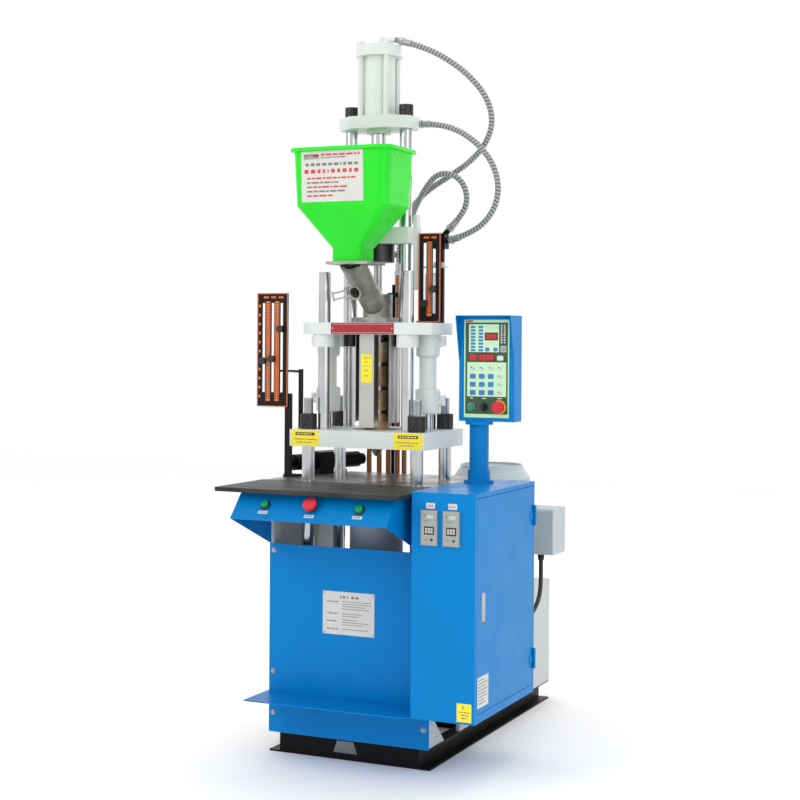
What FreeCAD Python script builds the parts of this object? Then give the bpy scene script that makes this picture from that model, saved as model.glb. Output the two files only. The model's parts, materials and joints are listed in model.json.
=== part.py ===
import FreeCAD, Part
import math
import os

# Vertical injection moulding machine, in millimetres.
# Origin: middle of the skid on the floor. +X to the operator's right, -Y towards the operator, +Z up.

Vec = FreeCAD.Vector

# fits shared by mating pieces
run_fit = 0.05          # radial clearance of a shaft or ram in its bore
gap = 0.4               # clear space between faces of different bodies
sheet = 2.0             # cabinet, console and panel sheet

# skid and frame
skid_length = 1016.0
skid_width = 520.0
skid_height = 63.0
skid_wall = 5.0
skid_flange = 40.0
cross_tube = 60.0
window_top = 55.0
window_bottom = 80.0
window_low = 19.0
window_high = 54.0
window_x = -10.0
frame_half = 258.0
frame_plate = 12.0
frame_front = -514.5
frame_rear = -66.0
ear_depth = 58.0

# platens and table
axis_y = -324.0         # injection and clamping axis, at x = 0
table_top = 800.0
platen_left = -310.0
platen_right = 262.0
platen_front = -454.0
platen_rear = -69.0
platen_thick = 45.0
table_left = -318.0
table_front = -734.0
table_thick = 12.0
tie_x = 178.0
tie_y = 104.0
tie_d = 38.0
tie_thread = 27.0
tie_nut_d = 50.0
tie_nut_h = 46.0
tie_top = 1049.0
mould_x = 210.0
mould_y = 120.0
mould_tap = 10.2
mould_depth = 30.0

clamp_half_x = 220.0
clamp_half_y = 145.0
clamp_low = 905.0
clamp_thick = 50.0
clamp_bore = 104.0
clamp_recess = 150.0

guide_x = 137.0
guide_y = 83.0
guide_d = 36.0
guide_spigot = 24.0
guide_top = 1425.0

inj_half_x = 211.0
inj_half_y = 120.0
inj_low = 1239.0
inj_thick = 35.0
inj_chamfer = 42.0
boss_d = 66.0
boss_h = 38.0

# clamp ram
pull_low = 320.0
pull_thick = 40.0
pull_half_x = 215.0
pull_half_y = 135.0
ram_d = 70.0
ram_bore = 125.0
ram_outer = 160.0
ram_cap = 30.0
ram_bottom = 520.0
ram_flange = 220.0
ram_piston = 50.0

# carriage rams, beside the barrel
side_x = 166.0
side_tube = 51.0
side_bore = 40.0
side_rod = 28.0
side_spigot = 20.0
side_cap_top = 70.0
side_cap_low = 74.0
side_low = 1004.0
side_tube_low = 1079.0
side_tube_high = 1173.0
side_piston = 20.0
side_stroke = 100.0

# injection unit
barrel_d = 60.0
barrel_low = 930.0
screw_d = 30.0
shank_d = 25.0
nozzle_tip = 873.0
band_d = 76.0
band_h = 60.0
throat_high = 1360.0
throat_side = 110.0
inj_col_x = 90.0
inj_col_d = 38.0
inj_col_spigot = 26.0
col_nut_d = 43.0
col_nut_h = 36.0
head_low = 1853.0
head_thick = 37.0
head_half_x = 118.0
head_half_y = 75.0
head_end = 30.0
cyl_d = 96.0
cyl_bore = 80.0
cyl_top = 2072.0
cap_d = 139.0
cap_h = 33.0
rod_d = 45.0
cross_low = 1510.0
cross_thick = 48.0
cross_half_x = 120.0
cross_half_y = 50.0
drive_d = 100.0
drive_h = 54.0
cross_down = 50.0

# hopper
hopper_y = -494.0
seat_high = 1449.0
seat_thick = 8.0
hopper_wall = 3.0
hopper_high = 1776.0
hopper_shoulder = 1609.0
hopper_neck = 1488.0
hopper_x = 308.0
hopper_deep = 200.0
neck_x = 92.0
neck_y = 100.0
rim_over = 9.0
rim_h = 10.0

# cabinet and control box
cab_left = 264.6
cab_right = 454.0
cab_front = -655.0
cab_rear = -186.0
cab_low = 182.0
cab_high = 806.0
door_low = 205.0
door_high = 794.0
door_front = -643.0
door_rear = -196.0
door_gap = 1.5
door_return = 18.0
hinge_d = 9.0
hinge_pin = 5.0
hinge_x = 458.5
hinge_y = -194.0
hinge_len = 60.0
paddle_w = 24.0
paddle_h = 80.0
paddle_low = 452.0
paddle_y = -592.0
timer_w = 48.0
timer_h = 96.0
timer_z = 710.0
timer_xs = (319.3, 384.8)
post_x = 325.0
post_y = -309.0
post_d = 57.0
socket_d = 66.0
socket_h = 30.0
socket_flange = 88.0
socket_flange_h = 9.0
box_x = 356.0
box_y = -302.0
box_w = 172.0
box_deep = 62.0
box_low = 987.0
box_high = 1296.0
visor = 30.0
visor_low = 1160.0

# oil tank and pump set
tank_half = 262.0
tank_front = 0.0
tank_rear = 508.0
tank_high = 410.0
tank_wall = 4.0
pump_x = 152.0
pump_y = 240.0
bell_h = 95.0
bell_d = 160.0
motor_d = 236.0
motor_h = 235.0
motor_flange = 250.0
cowl_d = 252.0
cowl_high = 816.0
cowl_wall = 2.5

# pipes and hoses
pipe_d = 16.0
pipe_y = -24.0
pipe_low = 600.0
pipe_xs = (-170.0, -134.0, -102.0, -70.0, -46.0)
tall_pipe_z = 1400.0
mast_x = -86.0
mast_d = 12.0
hose_d = 18.0
sleeve_d = 26.0
cable_d = 14.0
fitting_d = 22.0
fitting_h = 30.0
plug_h = 16.0
plug_d = 19.0

os.makedirs("parts", exist_ok=True)


def save(node, *solids):
    shape = solids[0] if len(solids) == 1 else Part.makeCompound(list(solids))
    shape.exportStep("parts/" + node + ".step")


def block(x0, x1, y0, y1, z0, z1):
    return Part.makeBox(x1 - x0, y1 - y0, z1 - z0, Vec(x0, y0, z0))


def upright(d, z0, z1, x=0.0, y=0.0):
    return Part.makeCylinder(d / 2, z1 - z0, Vec(x, y, z0))


def rod(d, a, b):
    return Part.makeCylinder(d / 2, (b - a).Length, a, b - a)


def prism(points, along):
    wire = Part.makePolygon(points + [points[0]])
    return Part.Face(wire).extrude(along)


def prism_x(yz, x0, x1):
    return prism([Vec(x0, y, z) for y, z in yz], Vec(x1 - x0, 0, 0))


def prism_y(xz, y0, y1):
    return prism([Vec(x, y0, z) for x, z in xz], Vec(0, y1 - y0, 0))


def prism_z(xy, z0, z1):
    return prism([Vec(x, y, z0) for x, y in xy], Vec(0, 0, z1 - z0))


def turned(profile, x, y):
    # profile: (radius, height) pairs of a closed outline beside the axis
    points = [Vec(x + r, y, z) for r, z in profile]
    face = Part.Face(Part.makePolygon(points + [points[0]]))
    return face.revolve(Vec(x, y, 0), Vec(0, 0, 1), 360)


def four(x, y):
    return [(sx * x, axis_y + sy * y) for sx in (-1, 1) for sy in (-1, 1)]


def rounded(half_x, half_y, r, z, yc=0.0):
    # rounded rectangle wire: four lines and four arcs, the same count at every size
    edges = []
    corners = [(1, 1, 0), (-1, 1, 90), (-1, -1, 180), (1, -1, 270)]
    arcs = []
    for sx, sy, start in corners:
        centre = Vec(sx * (half_x - r), yc + sy * (half_y - r), z)
        points = [centre + Vec(r * math.cos(math.radians(start + t)), r * math.sin(math.radians(start + t)), 0)
                  for t in (0, 45, 90)]
        arcs.append(points)
    for i, points in enumerate(arcs):
        edges.append(Part.Arc(*points).toShape())
        edges.append(Part.LineSegment(points[2], arcs[(i + 1) % 4][0]).toShape())
    return Part.Wire(edges)


def cord(name, points, d):
    # straight runs joined by tangent arcs, each as large as its two runs allow
    pts = [Vec(*p) for p in points]
    edges = []
    last = pts[0]
    radii = []
    for before, corner, after in zip(pts, pts[1:], pts[2:]):
        inward = (before - corner).normalize()
        outward = (after - corner).normalize()
        half_turn = (math.pi - inward.getAngle(outward)) / 2
        shorter = min((before - corner).Length, (after - corner).Length)
        cut = 0.45 * shorter
        radii.append(cut / math.tan(half_turn))
        start = corner + inward * cut
        end = corner + outward * cut
        bisector = (inward + outward).normalize()
        reach = radii[-1] / math.cos(half_turn) - radii[-1]
        middle = corner + bisector * reach
        edges.append(Part.LineSegment(last, start).toShape())
        edges.append(Part.Arc(start, middle, end).toShape())
        last = end
    edges.append(Part.LineSegment(last, pts[-1]).toShape())
    path = Part.Wire(edges)
    ring = Part.Wire(Part.makeCircle(d / 2, pts[0], pts[1] - pts[0]))
    tube = path.makePipeShell([ring], True, False)
    expected = math.pi * d * d / 4 * path.Length
    print(name, "length", round(path.Length), "volume ratio", round(tube.Volume / expected, 4),
          "smallest radius in diameters", round(min(radii) / d, 1))
    return tube


# skid, frame and covers

def base_skid():
    half_w, half_l = skid_width / 2, skid_length / 2
    web = half_w - skid_flange
    rails = []
    for side in (-1, 1):
        rail = block(web, half_w, -half_l, half_l, 0, skid_height)
        rail = rail.cut(block(web + skid_wall, half_w, -half_l, half_l, skid_wall, skid_height - skid_wall))
        rails.append(rail if side > 0 else rail.mirror(Vec(0, 0, 0), Vec(1, 0, 0)))
    window = prism_y([(window_x - window_bottom / 2, window_low), (window_x + window_bottom / 2, window_low),
                      (window_x + window_top / 2, window_high), (window_x - window_top / 2, window_high)],
                     -half_l, half_l)
    ends = [block(-web, web, y, y + skid_wall, 0, skid_height).cut(window) for y in (-half_l, half_l - skid_wall)]
    middle = block(-web, web, -cross_tube / 2, cross_tube / 2, 0, skid_height)
    middle = middle.cut(block(-web, web, skid_wall - cross_tube / 2, cross_tube / 2 - skid_wall,
                              skid_wall, skid_height - skid_wall))
    return rails[0].fuse(rails[1:] + ends + [middle]).removeSplitter()


def side_plates():
    low, high = skid_height, table_top - platen_thick
    foot = [(-401, low), (-470, 132), (-484, 160), (-484, 180), (-262, 180), (-285, low)]
    plates = []
    for side in (-1, 1):
        x0, x1 = sorted((side * frame_half, side * (frame_half - frame_plate)))
        plate = block(x0, x1, frame_front, frame_rear, low, high)
        plate = plate.fuse(block(x0, x1, frame_front, frame_front + ear_depth, high, table_top - table_thick))
        plate = plate.cut(prism_x(foot, x0, x1))
        plates.append(plate.removeSplitter())
    return plates


def fixed_platen():
    low = table_top - platen_thick
    solid = block(platen_left, platen_right, platen_front, platen_rear, low, table_top)
    for x, y in four(tie_x, tie_y):
        solid = solid.cut(upright(tie_d + 2 * run_fit, low, table_top, x, y))
    for x, y in four(mould_x / 2, mould_y / 2):
        solid = solid.cut(upright(mould_tap, table_top - mould_depth, table_top, x, y))
    return solid


def work_table():
    low = table_top - table_thick
    return block(table_left, platen_right, table_front, platen_front, low, table_top)


console_left = -255.0
console_right = 233.0
console_top = table_top - table_thick
console_nose = (-754.0, 715.0)
console_slope_top = (-688.0, console_top)
console_foot = (frame_front - 2.5, 618.0)
button_xs = (-159.0, -11.0, 137.0)
button_hole = 22.4


def slope_point(share):
    y = console_slope_top[0] + share * (console_nose[0] - console_slope_top[0])
    z = console_slope_top[1] + share * (console_nose[1] - console_slope_top[1])
    return y, z


button_y, button_z = slope_point(0.48)
slope = Vec(0, console_nose[1] - console_slope_top[1], console_slope_top[0] - console_nose[0])
button_axis = slope.normalize()          # out of the sloped face, towards the operator


def console():
    outline = [console_slope_top, console_nose, console_foot, (console_foot[0], console_top)]
    body = prism_x(outline, console_left, console_right)
    y0, z0 = console_nose
    inner = [(console_slope_top[0] + 1.4 * sheet, console_top - sheet), (y0 + 1.4 * sheet, z0 - 40.0),
             (console_foot[0] + 1, console_foot[1] - 40.0), (console_foot[0] + 1, console_top - sheet)]
    inner[1] = (y0 + 1.4 * sheet - 40.0 * (console_slope_top[0] - y0) / (console_top - z0), z0 - 40.0)
    body = body.cut(prism_x(inner, console_left + sheet, console_right - sheet))
    for x in button_xs:
        centre = Vec(x, button_y, button_z)
        body = body.cut(rod(button_hole, centre - button_axis * 10, centre + button_axis * 10))
    return body


def front_panel():
    # cover sheet with folded top and bottom edges and a foot shelf welded across it
    y1 = frame_front
    y0 = y1 - 2.5
    inside = frame_half - frame_plate - 2.0
    panel = block(-frame_half, 260.0, y0, y1, 60.0, 618.0)
    for z in (64.0, 606.0):
        panel = panel.fuse(block(-inside, inside, y1, y1 + 15, z, z + sheet))
    shelf = block(-frame_half, platen_right, y0 - 150.0, y0, 180.0, 183.0)
    corner = block(platen_right - 40.0, platen_right, y0 - 150.0, y0 - 110.0, 180.0, 183.0)
    corner = corner.cut(upright(80.0, 180.0, 183.0, platen_right - 40.0, y0 - 110.0))
    apron = block(-frame_half, platen_right, y0 - 3.0, y0, 160.0, 180.0)
    return panel.fuse([shelf.cut(corner), apron]).removeSplitter()


# oil tank and pump set

def oil_tank():
    tank = block(-tank_half, tank_half, tank_front, tank_rear, skid_height, tank_high)
    inside = block(-tank_half + tank_wall, tank_half - tank_wall, tank_front + tank_wall, tank_rear - tank_wall,
                   skid_height + tank_wall, tank_high - tank_wall)
    tank = tank.cut(inside).cut(upright(90.0, tank_high - 10, tank_high + 1, pump_x, pump_y))
    port = block(port_x - 20, port_x + 20, tank_front - 44, tank_front, 380.0, tank_high)
    filler = upright(60.0, tank_high, tank_high + 12, -150.0, 400.0)
    filler = filler.fuse(upright(76.0, tank_high + 12, tank_high + 44, -150.0, 400.0))
    return tank.fuse([port, filler])


port_x = 180.0


def gear_pump():
    z0, z1 = tank_high, tank_high + bell_h
    bell = upright(bell_d, z0, z1, pump_x, pump_y).fuse(upright(200.0, z1 - 14, z1, pump_x, pump_y))
    bell = bell.fuse(upright(190.0, z0, z0 + 10, pump_x, pump_y))
    bell = bell.cut(upright(bell_d - 24, z0, z1, pump_x, pump_y))
    bell = bell.cut(rod(60.0, Vec(pump_x, pump_y - bell_d, z0 + 48), Vec(pump_x, pump_y + bell_d, z0 + 48)))
    # pump body hanging through the tank's opening from a mounting plate inside the bell
    plate = upright(bell_d - 24 - 0.2, z0, z0 + 9, pump_x, pump_y)
    pump = plate.fuse(upright(84.0, z0 - 130, z0, pump_x, pump_y))
    pump = pump.cut(upright(24.0 + 2 * run_fit, z0 - 60, z0 + 9, pump_x, pump_y))
    suction = upright(30.0, z0 - 300, z0 - 130, pump_x, pump_y)
    strainer = upright(90.0, z0 - 320, z0 - 260, pump_x, pump_y)
    return [bell, pump.fuse([suction, strainer])]


def pump_motor():
    z0 = tank_high + bell_h
    z1 = z0 + motor_h
    body = upright(motor_flange, z0, z0 + 15, pump_x, pump_y)
    body = body.fuse(upright(motor_d - 24, z0 + 15, z1, pump_x, pump_y))
    fins = []
    fin_count = 36
    for i in range(fin_count):
        fin = block(motor_d / 2 - 16, motor_d / 2, -1.5, 1.5, z0 + 20, z1 - 8)
        fin.rotate(Vec(0, 0, 0), Vec(0, 0, 1), 360.0 * i / fin_count)
        fin.translate(Vec(pump_x, pump_y, 0))
        fins.append(fin)
    body = body.fuse(fins)
    body = body.fuse(upright(cowl_d - 2 * cowl_wall, z1 - 14, z1, pump_x, pump_y))
    neck = block(pump_x, pump_x + motor_d / 2 + 12, pump_y - 45, pump_y + 45, z0 + 50, z0 + 150)
    body = body.fuse(neck).cut(upright(40.0 + 2 * run_fit, z0, z1, pump_x, pump_y))
    x0 = pump_x + motor_d / 2 + 12
    terminal = block(x0, x0 + 104, pump_y - 62, pump_y + 62, z0 + 30, z0 + 178)
    terminal = terminal.makeFillet(12.0, [e for e in terminal.Edges if abs(e.tangentAt(0).x) > 0.9])
    return [body, terminal]


def fan_cowl():
    z0 = tank_high + bell_h + motor_h
    bend = z0 + 34
    outer = [(cowl_d / 2, z0 - 14), (cowl_d / 2, bend), (cowl_d / 2 - 22, cowl_high - 10),
             (cowl_d / 2 - 24, cowl_high), (cowl_d / 2 - 30, cowl_high), (cowl_d / 2 - 30, cowl_high - 10),
             (0, cowl_high - 10), (0, cowl_high - 13), (cowl_d / 2 - 32, cowl_high - 13),
             (cowl_d / 2 - cowl_wall, bend - 2), (cowl_d / 2 - cowl_wall, z0 - 14)]
    return turned(outer, pump_x, pump_y)


def motor_rotor():
    # shaft, fan and coupling hub: one turning assembly keyed to the shaft
    z0 = tank_high + bell_h
    shaft = upright(40.0, z0 - 45, z0 + motor_h, pump_x, pump_y)
    shaft = shaft.fuse(upright(22.0, z0 + motor_h, z0 + motor_h + 45, pump_x, pump_y))
    shaft = shaft.fuse(upright(70.0, z0 - 60, z0 - 10, pump_x, pump_y))
    shaft = shaft.fuse(upright(24.0, tank_high - 50, z0 - 60, pump_x, pump_y))
    hub_low, hub_high = z0 + motor_h + 6, z0 + motor_h + 40
    shaft = shaft.fuse(upright(60.0, hub_low, hub_high, pump_x, pump_y))
    blades = []
    blade_count = 8
    for i in range(blade_count):
        blade = block(25.0, 84.0, -1.5, 1.5, hub_low, hub_high)
        blade.rotate(Vec(0, 0, 0), Vec(0, 0, 1), 360.0 * i / blade_count)
        blade.translate(Vec(pump_x, pump_y, 0))
        blades.append(blade)
    return shaft.fuse(blades)


# clamp unit

def clamp_cylinder():
    top = table_top - platen_thick
    solid = upright(ram_outer, ram_bottom, top, 0, axis_y).fuse(upright(ram_flange, top - 25, top, 0, axis_y))
    solid = solid.cut(upright(ram_bore, ram_bottom + ram_cap, top, 0, axis_y))
    solid = solid.cut(upright(ram_d + 2 * run_fit, ram_bottom, ram_bottom + ram_cap, 0, axis_y))
    for z in (ram_bottom + ram_cap + 14, top - 45):
        solid = solid.fuse(block(-18, 18, axis_y + ram_outer / 2 - 6, axis_y + ram_outer / 2 + 24, z - 14, z + 14)
                           .cut(upright(ram_outer - 4, z - 15, z + 15, 0, axis_y)))
    return solid


def pull_plate():
    solid = block(-pull_half_x, pull_half_x, axis_y - pull_half_y, axis_y + pull_half_y,
                  pull_low, pull_low + pull_thick)
    for x, y in four(tie_x, tie_y):
        solid = solid.cut(upright(tie_thread + 2 * run_fit, pull_low, pull_low + pull_thick, x, y))
    return solid.cut(upright(30.0 + 2 * run_fit, pull_low, pull_low + pull_thick, 0, axis_y))


def ram_rods():
    piston_low = ram_bottom + ram_cap + 2
    top = pull_low + pull_thick
    main = upright(ram_d, top, piston_low, 0, axis_y)
    main = main.fuse(upright(ram_bore - 2 * run_fit, piston_low, piston_low + ram_piston, 0, axis_y))
    main = main.fuse(upright(30.0, pull_low - 30, top, 0, axis_y))
    main = main.fuse(upright(52.0, pull_low - 26, pull_low, 0, axis_y))
    rods = [main]
    clamp_top = clamp_low + clamp_thick
    piston_z = side_low + 50 + side_stroke + 12
    for side in (-1, 1):
        x = side * side_x
        thin = upright(side_rod, clamp_top, piston_z, x, axis_y)
        thin = thin.fuse(upright(side_bore - 2 * run_fit, piston_z, piston_z + side_piston, x, axis_y))
        rods.append(thin.fuse(upright(side_spigot, clamp_low + 5, clamp_top, x, axis_y)))
    return rods


def tie_bars():
    bars = []
    for x, y in four(tie_x, tie_y):
        bar = upright(tie_d, pull_low + pull_thick, clamp_low, x, y)
        bar = bar.fuse(upright(tie_thread, pull_low - 34, pull_low + pull_thick, x, y))
        bars.append(bar.fuse(upright(tie_thread, clamp_low, tie_top, x, y)))
    return bars


def tie_bar_nuts():
    nuts = []
    for x, y in four(tie_x, tie_y):
        for z, h in ((clamp_low + clamp_thick, tie_nut_h), (pull_low - 30, 30.0)):
            nut = upright(tie_nut_d, z, z + h, x, y).cut(upright(tie_thread + 2 * run_fit, z, z + h, x, y))
            groove_z = z + 0.66 * h
            ring = upright(tie_nut_d, groove_z, groove_z + 1.5, x, y)
            nut = nut.cut(ring.cut(upright(tie_nut_d - 4, groove_z, groove_z + 1.5, x, y)))
            for turn in (0, 90):
                step = Vec(math.cos(math.radians(turn)), math.sin(math.radians(turn)), 0) * tie_nut_d / 2
                centre = Vec(x, y, z + 0.33 * h)
                hole = rod(5.0, centre - step, centre + step)
                nut = nut.cut(hole)
            nuts.append(nut)
    return nuts


def clamp_platen():
    top = clamp_low + clamp_thick
    solid = block(-clamp_half_x, clamp_half_x, axis_y - clamp_half_y, axis_y + clamp_half_y, clamp_low, top)
    solid = solid.cut(upright(clamp_bore, clamp_low, top, 0, axis_y))
    solid = solid.cut(upright(clamp_recess, top - 8, top, 0, axis_y))
    for x, y in four(tie_x, tie_y):
        solid = solid.cut(upright(tie_thread + 2 * run_fit, clamp_low, top, x, y))
    for x, y in four(guide_x, guide_y):
        solid = solid.cut(upright(guide_spigot + 2 * run_fit, clamp_low, top, x, y))
    for side in (-1, 1):
        solid = solid.cut(upright(side_spigot + 2 * run_fit, clamp_low, top, side * side_x, axis_y))
    return solid


def guide_columns():
    columns = []
    for x, y in four(guide_x, guide_y):
        column = upright(guide_d, clamp_low + clamp_thick, guide_top, x, y)
        top_edges = [e for e in column.Edges if abs(e.BoundBox.ZMin - guide_top) < 1e-6
                     and abs(e.BoundBox.ZMax - guide_top) < 1e-6]
        column = column.makeChamfer(2.0, top_edges)
        columns.append(column.fuse(upright(guide_spigot, clamp_low + 4, clamp_low + clamp_thick, x, y)))
    return columns


pointer_x = -clamp_half_x
pointer_y = -394.0
pointer_z = 1125.0
ruler_y = axis_y - 13.0           # front face of both travel rulers is just ahead of this
ruler_thick = 4.0


def pipe_mast():
    # bracket behind the clamping platen, its mast and the two pipe blocks; the travel pointer on the left side
    clamp_rear = axis_y + clamp_half_y
    z = clamp_low + 13
    shelf = block(-190, -30, clamp_rear, pipe_y + 16, z, z + 12)
    shelf = shelf.cut(upright(mast_d + 2 * run_fit, z, z + 12, mast_x, pipe_y))
    low = block(-190, -30, pipe_y - 20, pipe_y + 20, pipe_low - 15, pipe_low + 15)
    low = low.cut(upright(mast_d + 2 * run_fit, pipe_low, pipe_low + 15, mast_x, pipe_y))
    for x in pipe_xs:
        shelf = shelf.cut(upright(pipe_d + 2 * run_fit, z, z + 12, x, pipe_y))
        low = low.cut(upright(pipe_d + 2 * run_fit, pipe_low, pipe_low + 15, x, pipe_y))
    clip_z = tall_pipe_z - 40
    clip = block(mast_x - 16, -34, pipe_y - 14, pipe_y + 14, clip_z, clip_z + 14)
    clip = clip.cut(upright(mast_d + 2 * run_fit, clip_z, clip_z + 14, mast_x, pipe_y))
    for x in pipe_xs[-2:]:
        clip = clip.cut(upright(pipe_d + 2 * run_fit, clip_z, clip_z + 14, x, pipe_y))
    mast = upright(mast_d, pipe_low, tall_pipe_z, mast_x, pipe_y)
    bar = block(pointer_x - 6, pointer_x, pointer_y - 10, pointer_y + 10, clamp_low, pointer_z + 8)
    elbow = Vec(pointer_x - 3, pointer_y + 8, pointer_z)
    tip = Vec(-302.0, axis_y + 8, pointer_z)
    arm = rod(8.0, elbow, tip)
    flag = block(-345, -298, axis_y + 4, axis_y + 12, pointer_z - 3, pointer_z + 3)
    return [shelf, low, clip, mast, bar.fuse([arm, flag])]


def hydraulic_pipes():
    pipes = []
    for i, x in enumerate(pipe_xs):
        tall = i >= 3
        top = tall_pipe_z if tall else clamp_low + clamp_thick + 20
        pipe = upright(pipe_d, pipe_low, top, x, pipe_y)
        head = fitting_h if tall else plug_h
        pipes.append(pipe.fuse(upright(fitting_d if tall else plug_d, top, top + head, x, pipe_y)))
    return pipes


# injection unit

def injection_platen():
    top = inj_low + inj_thick
    half_x, half_y, c = inj_half_x, inj_half_y, inj_chamfer
    outline = [(half_x, -half_y + c), (half_x, half_y - c), (half_x - c, half_y), (-half_x + c, half_y),
               (-half_x, half_y - c), (-half_x, -half_y + c), (-half_x + c, -half_y), (half_x - c, -half_y)]
    solid = prism_z([(x, axis_y + y) for x, y in outline], inj_low, top)
    for x, y in four(guide_x, guide_y):
        solid = solid.fuse(upright(boss_d, inj_low - boss_h, inj_low, x, y))
    for x, y in four(guide_x, guide_y):
        solid = solid.cut(upright(guide_d + 2 * run_fit, inj_low - boss_h, top, x, y))
    solid = solid.cut(upright(barrel_d + 2 * run_fit, inj_low, top, 0, axis_y))
    for side in (-1, 1):
        solid = solid.cut(upright(inj_col_spigot + 2 * run_fit, inj_low, top, side * inj_col_x, axis_y))
    return solid


def carriage_cylinders():
    rams = []
    inner_low = side_low + 50
    inner_high = inner_low + side_stroke + side_piston + 16
    for side in (-1, 1):
        x = side * side_x
        ram = upright(side_tube, side_tube_low - 1, side_tube_high + 1, x, axis_y)
        low = upright(side_cap_low, side_low, side_tube_low, x, axis_y)
        low = low.makeChamfer(5.0, [e for e in low.Edges if e.Closed and e.BoundBox.ZLength < 1e-6])
        high = upright(side_cap_top, side_tube_high, inj_low, x, axis_y)
        high = high.makeChamfer(5.0, [e for e in high.Edges if e.Closed and e.BoundBox.ZMax < side_tube_high + 1])
        ram = ram.fuse([low, high])
        ram = ram.cut(upright(side_bore, inner_low, inner_high, x, axis_y))
        ram = ram.cut(upright(side_rod + 2 * run_fit, side_low, inner_low, x, axis_y))
        for z in (side_low + 34, inj_low - 26):
            out = rod(18.0, Vec(x + side * 20, axis_y, z), Vec(x + side * 50, axis_y, z))
            out = out.cut(upright(side_bore + 4, z - 20, z + 20, x, axis_y))
            elbow = upright(16.0, z - 8, z + 22, x + side * 50, axis_y)
            ram = ram.fuse([out, elbow])
        rams.append(ram)
    return rams


def barrel():
    tube = upright(barrel_d, barrel_low, inj_low + inj_thick + 26, 0, axis_y)
    tube = tube.cut(upright(screw_d + 2 * run_fit, barrel_low + 14, inj_low + inj_thick + 26, 0, axis_y))
    tube = tube.cut(upright(16.0 + 2 * run_fit, barrel_low, barrel_low + 14, 0, axis_y))
    tip = turned([(0, nozzle_tip), (4, nozzle_tip), (10, nozzle_tip + 5), (20, nozzle_tip + 24),
                  (20, barrel_low), (8, barrel_low), (8, barrel_low + 12), (0, barrel_low + 12)], 0, axis_y)
    tip = tip.cut(upright(4.0, nozzle_tip, barrel_low + 12, 0, axis_y))
    return [tube, tip]


band_lows = (940.0, 1012.0, 1084.0, 1156.0)


def heater_bands():
    bands = []
    for z in band_lows:
        band = upright(band_d, z, z + band_h, 0, axis_y)
        bands.append(band.cut(upright(barrel_d + 2 * run_fit, z, z + band_h, 0, axis_y)))
    return bands


cover_half = 24.0
cover_front = -399.0
cover_low = 962.0
shield_d = 134.0
shield_wall = 1.5


def heater_guards():
    # painted wiring channel in front of the bands, and the bright sheet rolled round their back and sides
    channel = block(-cover_half, cover_half, cover_front, cover_front + 32, cover_low, inj_low)
    channel = channel.cut(block(-cover_half + 1.5, cover_half - 1.5, cover_front + 1.5, cover_front + 33,
                                cover_low + 1.5, inj_low - 1.5))
    shield = upright(shield_d, cover_low + 14, inj_low, 0, axis_y)
    shield = shield.cut(upright(shield_d - 2 * shield_wall, cover_low + 14, inj_low, 0, axis_y))
    mouth = prism_z([(0, axis_y), (-90, axis_y - 60), (-90, axis_y - 90), (90, axis_y - 90), (90, axis_y - 60)],
                    cover_low, inj_low)
    return [channel, shield.cut(mouth)]


def screw():
    top = cross_low - 12
    thread_top = inj_low + inj_thick + 10
    low = barrel_low + 16 + cross_down
    core = upright(shank_d, thread_top, top, 0, axis_y)
    core = core.fuse(upright(screw_d - 7, low + 22, thread_top, 0, axis_y))
    tip = turned([(0, low), (5, low), (12, low + 22), (0, low + 22)], 0, axis_y)
    pitch = 24.0
    flights = []
    count = int((thread_top - low - 30) / pitch)
    for i in range(count):
        z = low + 26 + i * pitch
        flights.append(upright(screw_d, z, z + 4, 0, axis_y))
    return core.fuse([tip] + flights)


spout_root = Vec(0.0, -405.0, 1381.0)
spout_dir = Vec(-0.15, -0.93, -0.33)
spout_dir.normalize()
spout_len = 62.0
spout_d = 45.0
duct_top = Vec(0, hopper_y, seat_high - seat_thick)
duct_low = Vec(0, axis_y - 34, 1336.0)
duct_d = 72.0
duct_bore = 52.0
bail_pin = 4.0
bail_wire = 4.5
bail_eye = 9.0
bail_half = 14.0
bail_out = 41.0
bail_ahead = 4.5        # hinge line in front of the spout's mouth
bail_lug = 4.0
bail_swing = -40.0      # rest angle of the bail, turned from the spout's own line towards the machine's left


def feed_throat():
    # one casting: block round the barrel's feed end, slanted duct, drain spout and hopper seat
    z0 = inj_low + inj_thick
    half = throat_side / 2
    body = block(-half, half, axis_y - half, axis_y + half, z0, z0 + 16)
    body = body.fuse(upright(88.0, z0, throat_high, 0, axis_y))
    past = (duct_low - duct_top).normalize() * 12
    duct = rod(duct_d, duct_top - past, duct_low + past)
    spout = rod(spout_d, spout_root, spout_root + spout_dir * spout_len)
    seat = block(-58, 75, hopper_y - 62, hopper_y + 62, seat_high - seat_thick, seat_high)
    body = body.fuse([duct, spout])
    body = body.cut(block(-80, 80, hopper_y - 80, hopper_y + 80, seat_high, seat_high + 40)).fuse(seat)
    body = body.cut(rod(duct_bore, duct_top - past * 2, duct_low))
    body = body.cut(upright(70.0, seat_high - 14, seat_high + 1, 0, hopper_y))
    body = body.cut(rod(spout_d - 12, spout_root, spout_root + spout_dir * (spout_len + 1)))
    body = body.fuse(bail_lugs())
    body = body.cut(upright(barrel_d + 2 * run_fit, z0, z0 + 26, 0, axis_y))
    body = body.cut(upright(screw_d + 2 * run_fit, z0 + 26, throat_high + 10, 0, axis_y))
    return body


def bail_frame():
    # hinge point beside the spout's mouth, hinge line, direction off the spout, and the bail's own
    left = spout_dir.cross(Vec(0, 0, 1))
    left.normalize()
    line = left.cross(spout_dir)
    line.normalize()
    point = spout_root + spout_dir * (spout_len + bail_ahead) + left * (spout_d / 2 + bail_eye / 2 + gap)
    out = FreeCAD.Rotation(line, bail_swing).multVec(spout_dir)
    return point, line, left, out


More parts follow.
